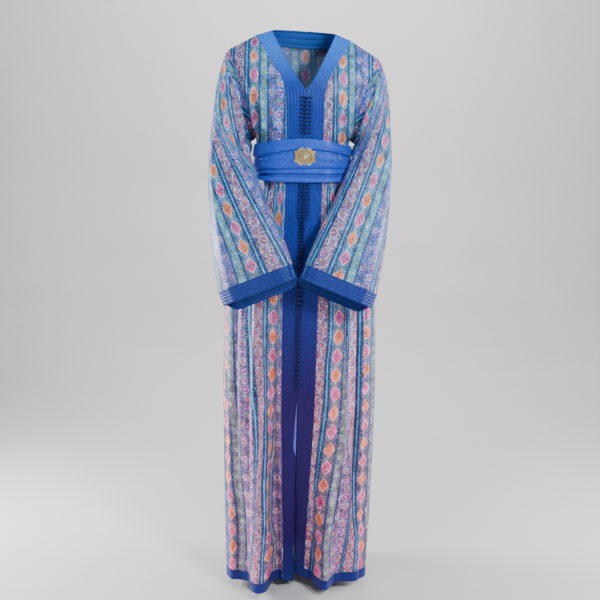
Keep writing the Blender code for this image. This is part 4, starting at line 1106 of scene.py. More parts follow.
def sleeve_cord(side, u, v):
    """The middle of a cord that lies on a sleeve or its cuff."""
    surface = sleeve_surface(side)
    normal = -side * outward(surface, u, np.clip(v, ROW_STEP, 1 - ROW_STEP))
    return surface(u, v) + normal * (CLOTH + 0.4 * PIPING)


def round_again(points):
    """A tube's points with its first column once more at the end."""
    return np.concatenate([points, points[:, :1]], axis=1)


def ring_of(points):
    """Places on plain cloth that goes round a tube."""
    again = round_again(points)
    return join(along_rows(again), up_columns(again))


# ---------------------------------------------------------------- belt

# The belt's folds at places round it (0 at the centre front, 0.5 at the back): the height
# of each fold's lower edge as a share of the belt's
BELT_FOLDS = table(
    "turn  first second third fourth",
    (-0.50, 0.72, 0.44, 0.25, 0.12), (-0.33, 0.70, 0.40, 0.22, 0.11),
    (-0.22, 0.63, 0.31, 0.20, 0.12), (-0.10, 0.72, 0.32, 0.215, 0.11),
    (0.00, 0.765, 0.335, 0.215, 0.10), (0.09, 0.765, 0.35, 0.22, 0.105),
    (0.20, 0.69, 0.385, 0.24, 0.14), (0.34, 0.66, 0.42, 0.27, 0.15),
    (0.50, 0.72, 0.44, 0.25, 0.12),
)
FOLD_STEPS = 12                 # rows over each fold
# How far, as shares of the belt's height, a fold goes up behind the one above it and its
# lower edge hangs over the next
FOLD_TOP, FOLD_LIP = 0.012, 0.006
# The sprigs on the belt: place across, height, size and lean in radians
SPRIGS = ((0.062, -0.3015, 0.0022, 0.3), (0.070, -0.3050, 0.0030, 2.2),
          (0.080, -0.3070, 0.0034, 4.0), (0.090, -0.3085, 0.0030, 0.9),
          (0.098, -0.3110, 0.0032, 3.1), (0.083, -0.3135, 0.0020, 5.2),
          (0.094, -0.3020, 0.0018, 1.8), (-0.106, -0.3060, 0.0026, 1.1),
          (-0.108, -0.3180, 0.0026, 3.4), (-0.103, -0.3270, 0.0020, 5.0))
SPRIG_TURNS, SPRIG_STEPS = 1.1, 22      # turns that a sprig's thread makes, and its points
SPRIG_THREAD, SPRIG_LIFT = 0.00045, 0.0006      # half its thickness, and how proud it lies
BELT_COLUMNS_DRAWN = 288
BELT_FOLD_OUT = 0.0072          # how far a fold's lower edge stands over the next fold
SPRIG_OUT = BELT_GROUND + 0.62 * BELT_FOLD_OUT  # where the sprigs lie on it
# How deep each fold's face lies at its two edges, from the top fold down
BELT_FACES = ((0.25, 0.95), (0.10, 1.0), (0.15, 0.75), (0.0, 0.0), (0.25, 0.85))
# Soft creases along the belt: here x is the share of its height and z the way round it
BELT_CREASES = crease_table(
    (0.52, -0.30, 0.60, 0.30, 0.05, 0.0010), (0.86, -0.26, 0.90, 0.00, 0.04, -0.0008),
    (0.46, -0.05, 0.56, 0.24, 0.03, -0.0007), (0.88, 0.05, 0.84, 0.30, 0.04, 0.0007),
    (0.42, -0.24, 0.47, -0.02, 0.03, -0.0007), (0.05, -0.20, 0.04, 0.20, 0.04, 0.0006),
)


def belt_grid():
    """The belt's outer points: each fold's lower edge hangs over the fold below it."""
    turn = np.arange(BELT_COLUMNS_DRAWN) / BELT_COLUMNS_DRAWN
    around = (turn + 0.5) % 1.0 - 0.5
    lines = [np.ones_like(around)]
    for key in ("first", "second", "third", "fourth"):
        lines.append(follow(BELT_FOLDS, "turn", key, around))
    lines.append(np.zeros_like(around))
    rows = []
    last = len(BELT_FACES) - 1
    for k, (top, bottom) in enumerate(BELT_FACES):
        for step in np.linspace(0, 1, FOLD_STEPS + 1):
            share = lines[k] + (lines[k + 1] - lines[k]) * step
            lip = FOLD_TOP * (1 - step) * (k > 0) - FOLD_LIP * step * (k < last)
            round_off = 1 - (0.5 * ease(0.93, 1.0, step) if k < last else
                             0.6 * ease(0.85, 1, step))
            face = (top + (bottom - top) * step ** 0.8) * round_off
            fades = 0.55 + 0.45 * np.cos(2 * math.pi * turn) if k == 3 else 1.0
            soft = creased(BELT_CREASES, share, around, widths=(1, 1), fades=(0.25, 0.75))
            rows.append(belt_ring(turn, belt_height(turn, share + lip),
                                  BELT_GROUND + BELT_FOLD_OUT * face * fades + soft))
    return np.stack(rows)


# ---------------------------------------------------------------- cords

NEAR_Y = (0.0, 1.0, 0.001)      # a direction that no cord runs along


def tube_mesh(name, paths):
    """Closed tubes in one mesh, from paths of points, radii and numbers of sides."""
    points = []
    faces = []
    for path, radii, sides in paths:
        path = np.asarray(path, float)
        along = unit(np.gradient(path, axis=0))
        side = unit(np.cross(along, NEAR_Y))
        other = np.cross(along, side)
        angle = 2 * math.pi * np.arange(sides) / sides
        first = len(points)
        for k, spot in enumerate(path):
            ring = np.cos(angle)[:, None] * side[k] + np.sin(angle)[:, None] * other[k]
            points.extend(spot + ring * radii[k])
        ends = [first + j for j in range(sides)]
        faces.append(ends[::-1])
        faces.append([k + sides * (len(path) - 1) for k in ends])
        for k in range(len(path) - 1):
            for j in range(sides):
                low = first + k * sides
                faces.append([low + j, low + (j + 1) % sides,
                              low + sides + (j + 1) % sides, low + sides + j])
    points = settle(np.array(points))
    mesh = bpy.data.meshes.new(name)
    mesh.from_pydata(points.tolist(), [], faces)
    mesh.shade_smooth()
    turn_outwards(mesh)
    return placed(name, mesh)


def turn_outwards(mesh):
    """Make a mesh's faces look outwards."""
    work = bmesh.new()
    work.from_mesh(mesh)
    bmesh.ops.recalc_face_normals(work, faces=work.faces)
    work.to_mesh(mesh)
    work.free()


def knot_paths(z, pitch, front_y, reaches):
    """One fastening: a knot, and the wrapped ends of its loops at its right and left."""
    radius = bpy.context.scene.caftan_sizes.knot * min(1.0, pitch / FULL_PITCH)
    middle = np.array([0.0, front_y, z])
    rings = np.linspace(-1, 1, 7)
    ball = middle + np.outer(rings * radius, [0.0, 0.0, 1.0]) + [0.0, -radius * 0.9, 0.0]
    bulge = radius * np.sqrt(np.clip(1.03 - rings ** 2, 0.04, 1)) * (1 + 0.10 * np.cos(9 * rings))
    paths = [(ball, bulge, 8)]
    steps = np.linspace(0, 1, len(LOOP_RADII))
    for way, reach in zip((-1, 1), reaches):
        x = way * (radius * 0.7 + reach * steps)
        y = front_y - LOOP_OUT - LOOP_BOW * np.sin(math.pi * steps)
        height = z + pitch * 0.10 - way * LOOP_DROOP * steps
        paths.append((join(x, y, height), LOOP_RADII, 6))
    return paths


# ---------------------------------------------------------------- materials

def feed(tree, node, inputs):
    """Link a node's inputs to the outputs of others, or set them to plain values."""
    for key, value in inputs.items() if isinstance(inputs, dict) else enumerate(inputs):
        if isinstance(value, bpy.types.NodeSocket):
            tree.links.new(value, node.inputs[key])
        else:
            node.inputs[key].default_value = value


def add(tree, kind, inputs=(), out=0, **settings):
    """A node, with its settings made and its inputs fed; returns one of its outputs."""
    node = tree.nodes.new(f"ShaderNode{kind}")
    for key, value in settings.items():
        setattr(node, key, value)
    feed(tree, node, inputs)
    return node.outputs[out]


def maths(tree, operation, *values):
    """One sum on plain values."""
    return add(tree, "Math", values, operation=operation)


def vectors(tree, operation, *values, out=0):
    """One sum on vectors."""
    return add(tree, "VectorMath", values, out=out, operation=operation)


def mix(tree, cover, under, over):
    """One colour over another, as far as cover says."""
    return add(tree, "MixRGB", (cover, under, over))


def times(tree, base, by, **settings):
    """A colour multiplied by another."""
    return add(tree, "MixRGB", (1.0, base, by), blend_type="MULTIPLY", **settings)


def ranged(tree, value, *limits):
    """A value carried over from one range to another."""
    return add(tree, "MapRange", (value, *limits))


def noise(tree, at, scale, detail, out="Fac", **more):
    """Cloudy noise."""
    return add(tree, "TexNoise", {"Vector": at, "Scale": scale, "Detail": detail, **more}, out=out)


def ramp(tree, value, stops, blend="LINEAR"):
    """A ramp of colours, from pairs of a place and a colour."""
    made = add(tree, "ValToRGB", (value,))
    line = made.node.color_ramp
    line.interpolation = blend
    while len(line.elements) < len(stops):
        line.elements.new(1.0)
    for element, (place, tone) in zip(line.elements, stops):
        element.position = place
        element.color = tone if len(tone) == 4 else (*tone, 1.0)
    return made


def height_of(tree):
    """How high each place on the garment is."""
    return add(tree, "SeparateXYZ", (add(tree, "TexCoord", out="Object"),), out=2)


def material(name):
    """An empty material, its tree and its shader."""
    made = bpy.data.materials.new(name)
    made.use_nodes = True
    return made, made.node_tree, made.node_tree.nodes["Principled BSDF"]


def solid(hexadecimal):
    """A colour with its alpha."""
    return *colour(hexadecimal), 1.0


def shades(*hexes):
    """Several colours at once."""
    return [colour(h) for h in hexes]


def wrong_side(tree, base, share, tone):
    """A cloth's colour, mixed on its inner face with another."""
    inside = add(tree, "Attribute", out="Fac", attribute_name="inside")
    return mix(tree, maths(tree, "MULTIPLY", inside, share), base, solid(tone))


def crepe_finish(tree, shader, cloth, base, rough, more):
    """The crepe's own surface, which shows as a soft grain and a bloom at its edges."""
    # Crepe yarns are about 0.25 mm apart; they are drawn 2 mm apart so that they show
    yarn = add(tree, "TexWave", {"Vector": cloth, "Scale": 160.0, "Distortion": 1.5,
                                 "Detail": 1.0}, out="Fac", bands_direction="Y")
    pebble = noise(tree, cloth, 900.0, 3.0)
    grain = maths(tree, "MULTIPLY_ADD", yarn, 0.35, pebble)
    bump = add(tree, "Bump", {"Strength": 0.30, "Distance": 0.0004, "Height": grain})
    patchy = noise(tree, cloth, 35.0, 4.0)
    gloss = ranged(tree, patchy, 0.3, 0.7, rough - 0.08, rough + 0.08)
    feed(tree, shader, {"Base Color": base, "Normal": bump, "Roughness": gloss,
                        "Sheen Roughness": 0.4, **more})


def figure(tree, base, cloth_at, worn, place, rise, period, half, stops, lozenge=False):
    """A small printed figure over a base colour, repeated up one stripe.

    Sizes are in millimetres: place is across the repeat, rise and period run up it and
    half holds the figure's half width and height. stops are its tones from its heart
    (0) to its edge (1), with None for bare cloth. A lozenge's sides swell and its tones
    run into each other; any other figure is broken up where worn is low.
    """
    off = maths(tree, "SUBTRACT", cloth_at[0], place / 1000)
    off = maths(tree, "MULTIPLY", off, 1000 / half[0])
    up = maths(tree, "ADD", cloth_at[1], -rise / 1000)
    up = maths(tree, "WRAP", up, period / 2000, -period / 2000)
    up = maths(tree, "MULTIPLY", up, 1000 / half[1])
    spot = add(tree, "CombineXYZ", (off, up))
    reach = vectors(tree, "LENGTH", spot, out="Value")
    if lozenge:
        off = maths(tree, "ABSOLUTE", off)
        up = maths(tree, "ABSOLUTE", up)
        corner = maths(tree, "ADD", off, up)
        reach = mix(tree, LOZENGE_CORNER, reach, corner)
    reach = maths(tree, "MULTIPLY", reach, FIGURE_EDGE)
    tones = [(FIGURE_EDGE * at, BARE if tone is None else solid(tone)) for at, tone in stops]
    last = (*colour(stops[-1][1]), 0.0) if lozenge else BARE
    ink = ramp(tree, reach, tones + [(FIGURE_EDGE, last)], "LINEAR" if lozenge else "CONSTANT")
    cover = ink.node.outputs[1]
    if not lozenge:
        cover = maths(tree, "MULTIPLY", cover, worn)
    return mix(tree, cover, base, ink)


def within(tree, width, low, high):
    """1 between two places across the repeat, in millimetres, and 0 outside them."""
    return maths(tree, "COMPARE", width, (low + high) / 2000, (high - low) / 2000)


def flecks(tree, cloth, base, scale, above, amount, tone):
    """Small flecks of another colour, scattered over a base colour."""
    cover = noise(tree, cloth, scale, 1.5, Distortion=0.4)
    cover = ranged(tree, cover, above, above + 0.07, 0.0, amount)
    return mix(tree, cover, base, solid(tone))


def wavering(tree, cloth, scale, size):
    """The cloth's places, each moved a little, so that what is drawn there has soft edges."""
    drift = noise(tree, cloth, scale, 2.0, out="Color")
    drift = vectors(tree, "SUBTRACT", drift, (0.5, 0.5, 0.5))
    drift = vectors(tree, "MULTIPLY", drift, (size, size, 0.0))
    return vectors(tree, "ADD", cloth, drift)


def across_repeat(tree, places):
    """How far across its repeat of the print a place is, from 0 to 1."""
    return maths(tree, "FRACT", maths(tree, "DIVIDE", places, STRIPES))


def striped(tree, sized, height):
    """The print's plain stripes, and a mask that leaves out the lines between them."""
    colours = bpy.context.scene.caftan_colours
    ground, teal = tuple(colours.ground), tuple(colours.teal)
    pale, flower, chain, rose = shades("3f8fc4", "5660a4", "56809a", "634a78")
    edges = ((0, rose), (32.0, teal), (37.8, pale), (41.4, teal), (47.4, ground), (75.6, teal),
             (80.4, chain), (97.8, teal), (102.6, flower), (139.6, teal), (145.6, pale),
             (149.4, teal))
    edges = [(edge / 1000 / STRIPES, tone) for edge, tone in edges]

    # Their edges waver by a quarter of a millimetre
    place = add(tree, "SeparateXYZ", (wavering(tree, sized, 300.0, 0.0014),))
    place = across_repeat(tree, place)
    base = ramp(tree, place, edges, "CONSTANT")
    lines = [(edge, (0.0 if tone in (teal, pale) else 1.0,) * 3) for edge, tone in edges]
    lines = ramp(tree, place, lines, "CONSTANT")

    # Painted light: the ground is mixed towards mauve down the skirt, as a painted warm cast of
    # light, and stays cool at the shoulders
    warm = maths(tree, "MULTIPLY", ranged(tree, height, -0.45, -1.0, 0.0, 0.68), lines)
    return mix(tree, warm, base, solid("7c4e60")), lines


def figured(tree, sized, base):
    """The print's petals, stems and figures over its stripes."""
    # The figures' edges waver by a whole millimetre
    drawn = wavering(tree, wavering(tree, sized, 240.0, 0.0046), 38.0, 0.0070)
    drawn = add(tree, "SeparateXYZ", (drawn,))
    width = maths(tree, "MULTIPLY", across_repeat(tree, drawn), STRIPES)
    at = (width, drawn.node.outputs[1])
    worn = ranged(tree, noise(tree, sized, 150.0, 1.0), 0.40, 0.52, 0.30, 1.0)
    broad = maths(tree, "ADD", within(tree, width, 0.6, 31.8), within(tree, width, 103, 139.5))

    # Petals and seeds strewn over the cloth, most on the two broad stripes
    cell = add(tree, "TexVoronoi", {"Vector": sized, "Scale": 260.0}, out="Distance")
    kind = add(tree, "SeparateColor", (cell.node.outputs["Color"],))
    tones = shades("c23a78", "d06c40", "b4a8cc", "4c4a9c", "34688c", "4c8680", "a07cb0")
    tone = ramp(tree, kind, [(0.14 * k, tone) for k, tone in enumerate(tones)], "CONSTANT")
    cover = maths(tree, "LESS_THAN", cell, 0.40)
    more = maths(tree, "MULTIPLY_ADD", broad, 0.28, 0.24)
    bright = mix(tree, maths(tree, "MULTIPLY", cover, more), base, tone)

    # Fine stems curl between them
    curl = add(tree, "TexVoronoi", {"Vector": sized, "Scale": 120.0}, out="Distance")
    stem = ramp(tree, curl, ((0.0, BARE), (0.28, (*colour("c49cc4"), 0.5)), (0.33, BARE),
                             (0.50, solid("2b3668")), (0.57, BARE)), "CONSTANT")
    cover = maths(tree, "MULTIPLY", stem.node.outputs[1], broad)
    bright = mix(tree, maths(tree, "MULTIPLY", cover, 0.7), bright, stem)

    for row in FIGURES:
        bright = figure(tree, bright, at, worn, *row)
    return bright


def printed_crepe():
    """Striped and figured silk crepe: its fine print is what catches the eye first."""
    made, tree, shader = material("printed_silk_crepe")
    repeat = bpy.context.scene.caftan_sizes.repeat
    cloth = add(tree, "UVMap", uv_map="cloth")
    sized = vectors(tree, "MULTIPLY", cloth, (STRIPES / repeat,) * 3)
    height = height_of(tree)
    base, lines = striped(tree, sized, height)
    base = mix(tree, lines, base, figured(tree, sized, base))
    base = flecks(tree, sized, base, 400.0, 0.57, 0.36, "c4d4e8")
    shifted = vectors(tree, "ADD", sized, (0.371, 0.117, 0.0))
    base = flecks(tree, shifted, base, 330.0, 0.52, 0.62, "16223f")

    # Painted light: the colours are dimmed and cooled at the shoulders and warmed down the skirt,
    # a painted cast of cool light above and warm light below. The dyes also lie unevenly
    depth = ranged(tree, height, 0.0, -1.5, 0.0, 1.0)
    base = times(tree, base, ramp(tree, depth, (
        (0.05, (0.66, 0.86, 0.92)), (0.40, (0.72, 0.86, 0.92)), (0.62, (1.0, 0.86, 0.90)),
        (0.95, (1.0, 0.80, 0.84)))))
    uneven = ranged(tree, noise(tree, cloth, 38.0, 3.0), 0.32, 0.68, 0.80, 1.62)
    base = times(tree, base, uneven)

    # The dyes are deep and the undyed threads pale, so the tones stand well apart
    base = add(tree, "Gamma", (base, 1.20))
    base = times(tree, base, (1.40, 1.40, 1.40, 1.0), use_clamp=True)
    base = wrong_side(tree, base, 0.35, "8fa0bd")
    crepe_finish(tree, shader, cloth, base, 0.50, {
        "Sheen Weight": 0.10, "Sheen Tint": solid("cfe2ff"), "Specular IOR Level": 0.30})
    return made


def blue_crepe(name, *dyes):
    """Plain silk crepe: a deep even blue whose soft shine shows up every tuck."""
    made, tree, shader = material(name)
    cloth = add(tree, "UVMap", uv_map="cloth")
    depth = ranged(tree, height_of(tree), 0.0, -1.5, 0.0, 1.0)
    base = ramp(tree, depth, dyes)
    slub = noise(tree, cloth, 120.0, 4.0)
    slub = ranged(tree, slub, 0.3, 0.7, 0.80, 1.18)
    base = times(tree, base, slub)
    # The wrong side, which shows in the cuffs' mouths, is a lighter blue
    base = wrong_side(tree, base, 0.5, "27408e")
    crepe_finish(tree, shader, cloth, base, 0.42, {
        "Sheen Weight": 0.04, "Sheen Tint": solid("4f7dff"), "Specular IOR Level": 0.28,
        "Specular Tint": solid("9db8ff")})
    return made


def even_crepe(name, dye):
    """Plain silk crepe of one even colour, which shows as a flat tone beside the bands: a real dye
    for the belt and cuffs, a painted highlight for the slit's edge.
    """
    return blue_crepe(name, (0.0, colour(dye)), (1.0, colour(dye)))


def silk_cord(name, cord, shine):
    """Wrapped silk cord, whose fine turns of thread glint, with painted shade in their furrows and
    painted highlights on their crests.
    """
    made, tree, shader = material(name)
    spot = add(tree, "TexCoord", out="Object")
    # The thread is wound about 0.3 mm apart, and drawn 1.4 mm apart so that it shows
    turns = add(tree, "TexWave", {"Vector": spot, "Scale": 260.0, "Distortion": 2.0},
                out="Fac", bands_direction="DIAGONAL")
    # Painted shade and highlight: each turn is darker in its furrow and brighter on its crest; the
    # same turns also make the bump
    base = ramp(tree, turns, ((0.0, tuple(0.45 * c for c in cord)),
                              (1.0, tuple(min(1.0, 1.7 * c) for c in cord))))
    bump = add(tree, "Bump", {"Strength": 0.5, "Distance": 0.0003, "Height": turns})
    feed(tree, shader, {"Base Color": base, "Normal": bump, "Roughness": 0.42,
                        "Specular IOR Level": shine})
    return made


def gilt_filigree(name, gilt):
    """Gilt filigree: warm pale gold, darker and duller in patches of tarnish, with painted shade
    in the furrows between its wires.
    """
    made, tree, shader = material(name)
    spot = add(tree, "TexCoord", out="Object")
    wires = add(tree, "TexVoronoi", {"Vector": spot, "Scale": 620.0}, out="Distance",
                feature="DISTANCE_TO_EDGE")
    tarnish = noise(tree, spot, 220.0, 4.0)
    worn = ramp(tree, tarnish, ((0.30, tuple(0.42 * c for c in gilt)), (0.55, gilt)))
    # Painted shade: the gold is darkened in the furrows between the wires' cells, where shade
    # would fall
    painted_groove_shade = ranged(tree, wires, 0.0, 0.12, 0.55, 1.0)
    base = times(tree, worn, painted_groove_shade)
    gloss = ranged(tree, tarnish, 0.3, 0.7, 0.42, 0.24)
    bump = add(tree, "Bump", {"Strength": 0.6, "Distance": 0.0004, "Height": wires})
    feed(tree, shader, {"Base Color": base, "Roughness": gloss, "Normal": bump,
                        "Metallic": 0.6})
    return made


def cut_crystal():
    """Cut crystal: clear, bright and a little milky, so that it reads as one pale point; its
    facets are painted paler and greyer, as painted reflections.
    """
    made, tree, shader = material("cut_crystal")
    spot = add(tree, "TexCoord", out="Object")
    # Painted reflections: each facet gets a paler or greyer tone, as if it caught more or less
    # light
    painted_facet_light = add(tree, "TexVoronoi", {"Vector": spot, "Scale": 700.0}, out="Color")
    tone = add(tree, "SeparateColor", (painted_facet_light,))
    base = ramp(tree, tone, tuple(zip((0.0, 0.5, 1.0), shades("b9b3b6", "efe9e4", "ffffff"))))
    feed(tree, shader, {"Base Color": base, "Roughness": 0.06, "IOR": 1.6,
                        "Transmission Weight": 0.35, "Coat Weight": 1.0})
    return made


def studio_sweep():
    """A plain studio sweep, which shows as an even pale ground."""
    made, tree, shader = material("studio_sweep")
    tone = colour("c8c2c2")
    spot = add(tree, "TexCoord", out="Object")
    dust = noise(tree, spot, 3.0, 3.0)
    base = ramp(tree, dust, ((0.3, tuple(0.96 * c for c in tone)), (0.7, tone)))
    feed(tree, shader, {"Base Color": base, "Roughness": 0.6})
    return made


def chosen(name):
    """A material of the add-on, made when it is first wanted."""
    found = bpy.data.materials.get(name)
    if found is not None:
        return found
    colours = bpy.context.scene.caftan_colours
    blue, indigo = tuple(colours.blue), tuple(colours.indigo)
    makers = {
        "printed_silk_crepe": printed_crepe,
        # The dye is brightest at the neck, and turns to indigo down the skirt
        "blue_silk_crepe": lambda: blue_crepe(
            name, (0.02, colour("2c6cd0")), (0.09, blue), (0.34, blue), (0.62, indigo),
            (0.90, indigo), (1.0, colour("1c2468"))),
        "belt_silk_crepe": lambda: even_crepe(name, "2a49b2"),
        # The slit's rolled edge is the band's crepe painted pale, a painted highlight where it
        # catches the light
        "slit_highlight_crepe": lambda: even_crepe(name, "5a58b4"),
        "cuff_silk_crepe": lambda: even_crepe(name, "1f2f72"),
        "wrapped_silk_cord": lambda: silk_cord(name, tuple(colours.cord), 0.25),
        "pale_silk_cord": lambda: silk_cord(name, colour("3f8cc8"), 0.4),
        "silver_thread": lambda: silk_cord(name, colour("7f97d8"), 0.5),
        "gilt_ground": lambda: gilt_filigree(name, tuple(0.30 * c for c in colours.gilt)),
        "gilt_filigree": lambda: gilt_filigree(name, tuple(colours.gilt)),
        "cut_crystal": cut_crystal,
    }
    return makers[name]()


# ---------------------------------------------------------------- operators

class PieceOperator:
    """What all the operators share."""

    bl_options = {"REGISTER", "UNDO"}

    def execute(self, context):
        self.make(context)
        return {"FINISHED"}


class CAFTAN_OT_panels(PieceOperator, bpy.types.Operator):
    """Make the printed bodice and skirt, each with its creases"""

    bl_idname = "caftan.panels"
    bl_label = "Bodice and skirt"

    def make(self, context):
        printed = chosen("printed_silk_crepe")
        kinds = (("skirt", skirt_levels(HEM_SHARE + SEAM / SKIRT_HEIGHT)),
                 ("bodice", bodice_levels()))
        for side, word in SIDES:
            for kind, levels in kinds:
                piece = panel(f"{kind}_{word}_cloth", front_surface(side), printed_part(side),
                              levels, FRONT_COLUMNS, body_relief(kind, side),
                              body_print(kind, side), seam_up(side) if kind == "bodice" else None)
                enrol(piece, "printed_crepe", printed, f"{kind}_{word}")
        for kind, levels in kinds:
            piece = panel(f"{kind}_back_cloth", back_surface, back_part(), levels, BACK_COLUMNS,
                          body_relief(kind, 0), body_print(kind, 0),
                          nape_up if kind == "bodice" else None)
            enrol(piece, "printed_crepe", printed, f"{kind}_back")


class CAFTAN_OT_bands(PieceOperator, bpy.types.Operator):
    """Make the pin-tucked bands of the front and neck, and the hem's band"""

    bl_idname = "caftan.bands"
    bl_label = "Bands and hem"

    def make(self, context):
        blue = chosen("blue_silk_crepe")
        hem = np.linspace(0, HEM_SHARE, HEM_ROWS + 1)
        for side, word in SIDES:
            for part, levels in (("lower", skirt_levels(0.0)), ("upper", bodice_levels())):
                piece = panel(f"band_{word}_{part}_cloth", front_surface(side), band_part(side),
                              levels, BAND_COLUMNS, band_relief, plain_lie,
                              seam_up(side) if part == "upper" else None)
                enrol(piece, "blue_crepe", blue, f"band_{word}_{part}")
            piece = panel(f"hem_{word}_cloth", front_surface(side), printed_part(side), hem,
                          FRONT_COLUMNS, hem_fold(side), plain_lie)
            enrol(piece, "blue_crepe", blue, f"hem_{word}")
        piece = panel("hem_back_cloth", back_surface, back_part(), hem, BACK_COLUMNS,
                      hem_fold(0), plain_lie)
        enrol(piece, "blue_crepe", blue, "hem_back")
        self.neck(blue)
        self.slit(chosen("slit_highlight_crepe"))

    def neck(self, blue):
        """The band round the back of the neck."""
        inset = SEAM / 2 / (math.pi * NECK_X)
        u = (inset + (1 - 2 * inset) * np.linspace(0, 1, NECK_COLUMNS + 1))[None, :]
        rows = np.linspace(0, 1, NECK_ROWS + 1)
        v = (SEAM / (YOKE_DROP - YOKE_Z) * (1 - rows) + rows)[:, None]
        u, v = np.broadcast_arrays(u, v)
        angle = math.pi * (1 - u)
        low, high = yoke(angle, False), yoke(angle, True)
        points = low + (high - low) * v[..., None]
        normal = yoke_normal(angle)
        size = bpy.context.scene.caftan_sizes
        out = size.tuck * tucked(v, NECK_TUCKS)
        outer = points + normal * (CLOTH + out)[..., None]
        piece = cloth_mesh("band_neck_cloth", outer, outer - normal * size.cloth,
                           plain_lie(u, v, outer))
        enrol(piece, "blue_crepe", blue, "band_neck")

    def slit(self, blue):
        """The rolled edge of the right front, which catches the light down the slit; its pale
        colour is a painted highlight.
        """
        top, bottom, width = SLIT_EDGE
        rows = np.linspace(0, 1, SLIT_ROWS + 1)
        z = top + (bottom - top) * rows
        wide = width * np.sin(math.pi * rows) ** 0.8 + 0.0002
        across = np.linspace(0, 1, SLIT_COLUMNS + 1)
        x = -0.0002 - wide[:, None] * across[None, :]
        bow = np.sin(math.pi * across)[None, :] * SLIT_BOW
        y = slit_front(z)[:, None] - SLIT_PROUD - bow
        outer = join(x, y, z[:, None])
        size = bpy.context.scene.caftan_sizes
        inner = outer + np.array([0.0, size.cloth * 0.5, 0.0])
        piece = cloth_mesh("slit_edge_cloth", outer, inner, plain_lie(x, y, outer))
        enrol(piece, "blue_crepe", blue)


class CAFTAN_OT_sleeves(PieceOperator, bpy.types.Operator):
    """Make the bell sleeves, their tucked cuffs and the cord down each underarm edge"""

    bl_idname = "caftan.sleeves"
    bl_label = "Sleeves and cuffs"

    def make(self, context):
        sizes = context.scene.caftan_sizes
        for side, word in SIDES:
            def creases(u, v):
                starts = ease(0.0, 0.12, v)
                keep = starts * np.sin(math.pi * u) ** 0.3
                pull = sizes.crease * ARMHOLE_FOLD * armhole_fold(u, v)
                inner = np.exp(-(np.minimum(u, 1 - u) / INNER_ROUND) ** 2
                               - ((v - INNER_PLACE) / INNER_LENGTH) ** 2) * starts
                return creased(SLEEVE_CREASES, u, v) * keep + pull + INNER_FULLNESS * inner

            levels = np.linspace(0, 1 - SEAM / 2, SLEEVE_ROWS + 1)
            outer, normal = sleeve_grid(side, levels, creases)
            again = round_again(outer)
            piece = cloth_mesh(f"sleeve_{word}_cloth", outer, outer - normal * sizes.cloth,
                               sleeve_print(side, levels, again), closed=True)
            enrol(piece, "printed_crepe", chosen("printed_silk_crepe"), f"sleeve_{word}")

            levels = 1 + SEAM + (CUFF_HEIGHT - SEAM) * np.linspace(0, 1, CUFF_ROWS + 1)

            def tucks(u, v):
                place = (v - 1) / CUFF_HEIGHT
                fold = creased(SLEEVE_CREASES, u, np.ones_like(v)) * np.sin(math.pi * u) ** 0.3
                return sizes.tuck * tucked(place, CUFF_TUCKS) + fold

            outer, normal = sleeve_grid(side, levels, tucks, out_of=1.0)
            piece = cloth_mesh(f"cuff_{word}_cloth", outer, outer - normal * sizes.cloth,
                               ring_of(outer), closed=True)
            enrol(piece, "blue_crepe", chosen("cuff_silk_crepe"), f"cuff_{word}")

            # A pale cord is sewn down the sleeve's underarm edge
            v = np.linspace(PIPING_START, 1 + CUFF_HEIGHT - 0.002, 90)
            path = sleeve_cord(side, np.full_like(v, PIPING_TURN), v)
            piece = tube_mesh(f"sleeve_{word}_piping", [(path, np.full(len(path), PIPING), 6)])
            enrol(piece, "blue_cord", chosen("pale_silk_cord"))


class CAFTAN_OT_belt(PieceOperator, bpy.types.Operator):
    """Make the folded cloth belt"""

    bl_idname = "caftan.belt"
    bl_label = "Belt"

    def make(self, context):
        outer = belt_grid()
        turn = np.arange(BELT_COLUMNS_DRAWN) / BELT_COLUMNS_DRAWN
        share = np.linspace(1, 0, len(outer))
        inner = np.stack([belt_ring(turn, belt_height(turn, np.full_like(turn, s)),
                                    BELT_OUT - BELT_CLOTH) for s in share])
        piece = cloth_mesh("belt_cloth", outer, inner, ring_of(outer), closed=True)
        enrol(piece, "blue_crepe", chosen("belt_silk_crepe"), "belt")
        self.sprigs()

    def sprigs(self):
        """The little sprigs worked on the belt in silver thread."""
        paths = []
        for x, z, size, lean in SPRIGS:
            steps = np.linspace(0, 1, SPRIG_STEPS)
            angle = 2 * SPRIG_TURNS * math.pi * steps + lean
            reach = size * (0.25 + 0.75 * steps)
            across = x + 1.5 * reach * np.cos(angle)
            height = z + reach * np.sin(angle)
            turn = np.linspace(-0.30, 0.30, 241)
            line = belt_ring(turn, np.full_like(turn, z), SPRIG_OUT)
            y = np.interp(across, line[:, 0], line[:, 1])
            paths.append((join(across, y - SPRIG_LIFT, height),
                          np.full(SPRIG_STEPS, SPRIG_THREAD), 5))
        piece = tube_mesh("belt_sprigs", paths)
        enrol(piece, "blue_cord", chosen("silver_thread"))


class CAFTAN_OT_knots(PieceOperator, bpy.types.Operator):
    """Make the corded knots and their loops down the front"""

    bl_idname = "caftan.knots"
    bl_label = "Knot buttons"

    def make(self, context):
        for node, knots in (("buttons_bodice", BODICE_KNOTS), ("buttons_skirt", SKIRT_KNOTS)):
            paths = []
            z = knots["height"].max()
            while z > knots["height"].min():
                pitch = float(follow(knots, "height", "pitch", z))
                face = float(slit_front(np.array([z]))[0])
                reaches = WIDE_LOOPS if z > WIDE_LOOPS_END else LOW_LOOPS
                paths += knot_paths(z, pitch, face, reaches)
                z -= pitch
            piece = tube_mesh(f"{node}_cords", paths)
            enrol(piece, "blue_cord", chosen("wrapped_silk_cord"), node)


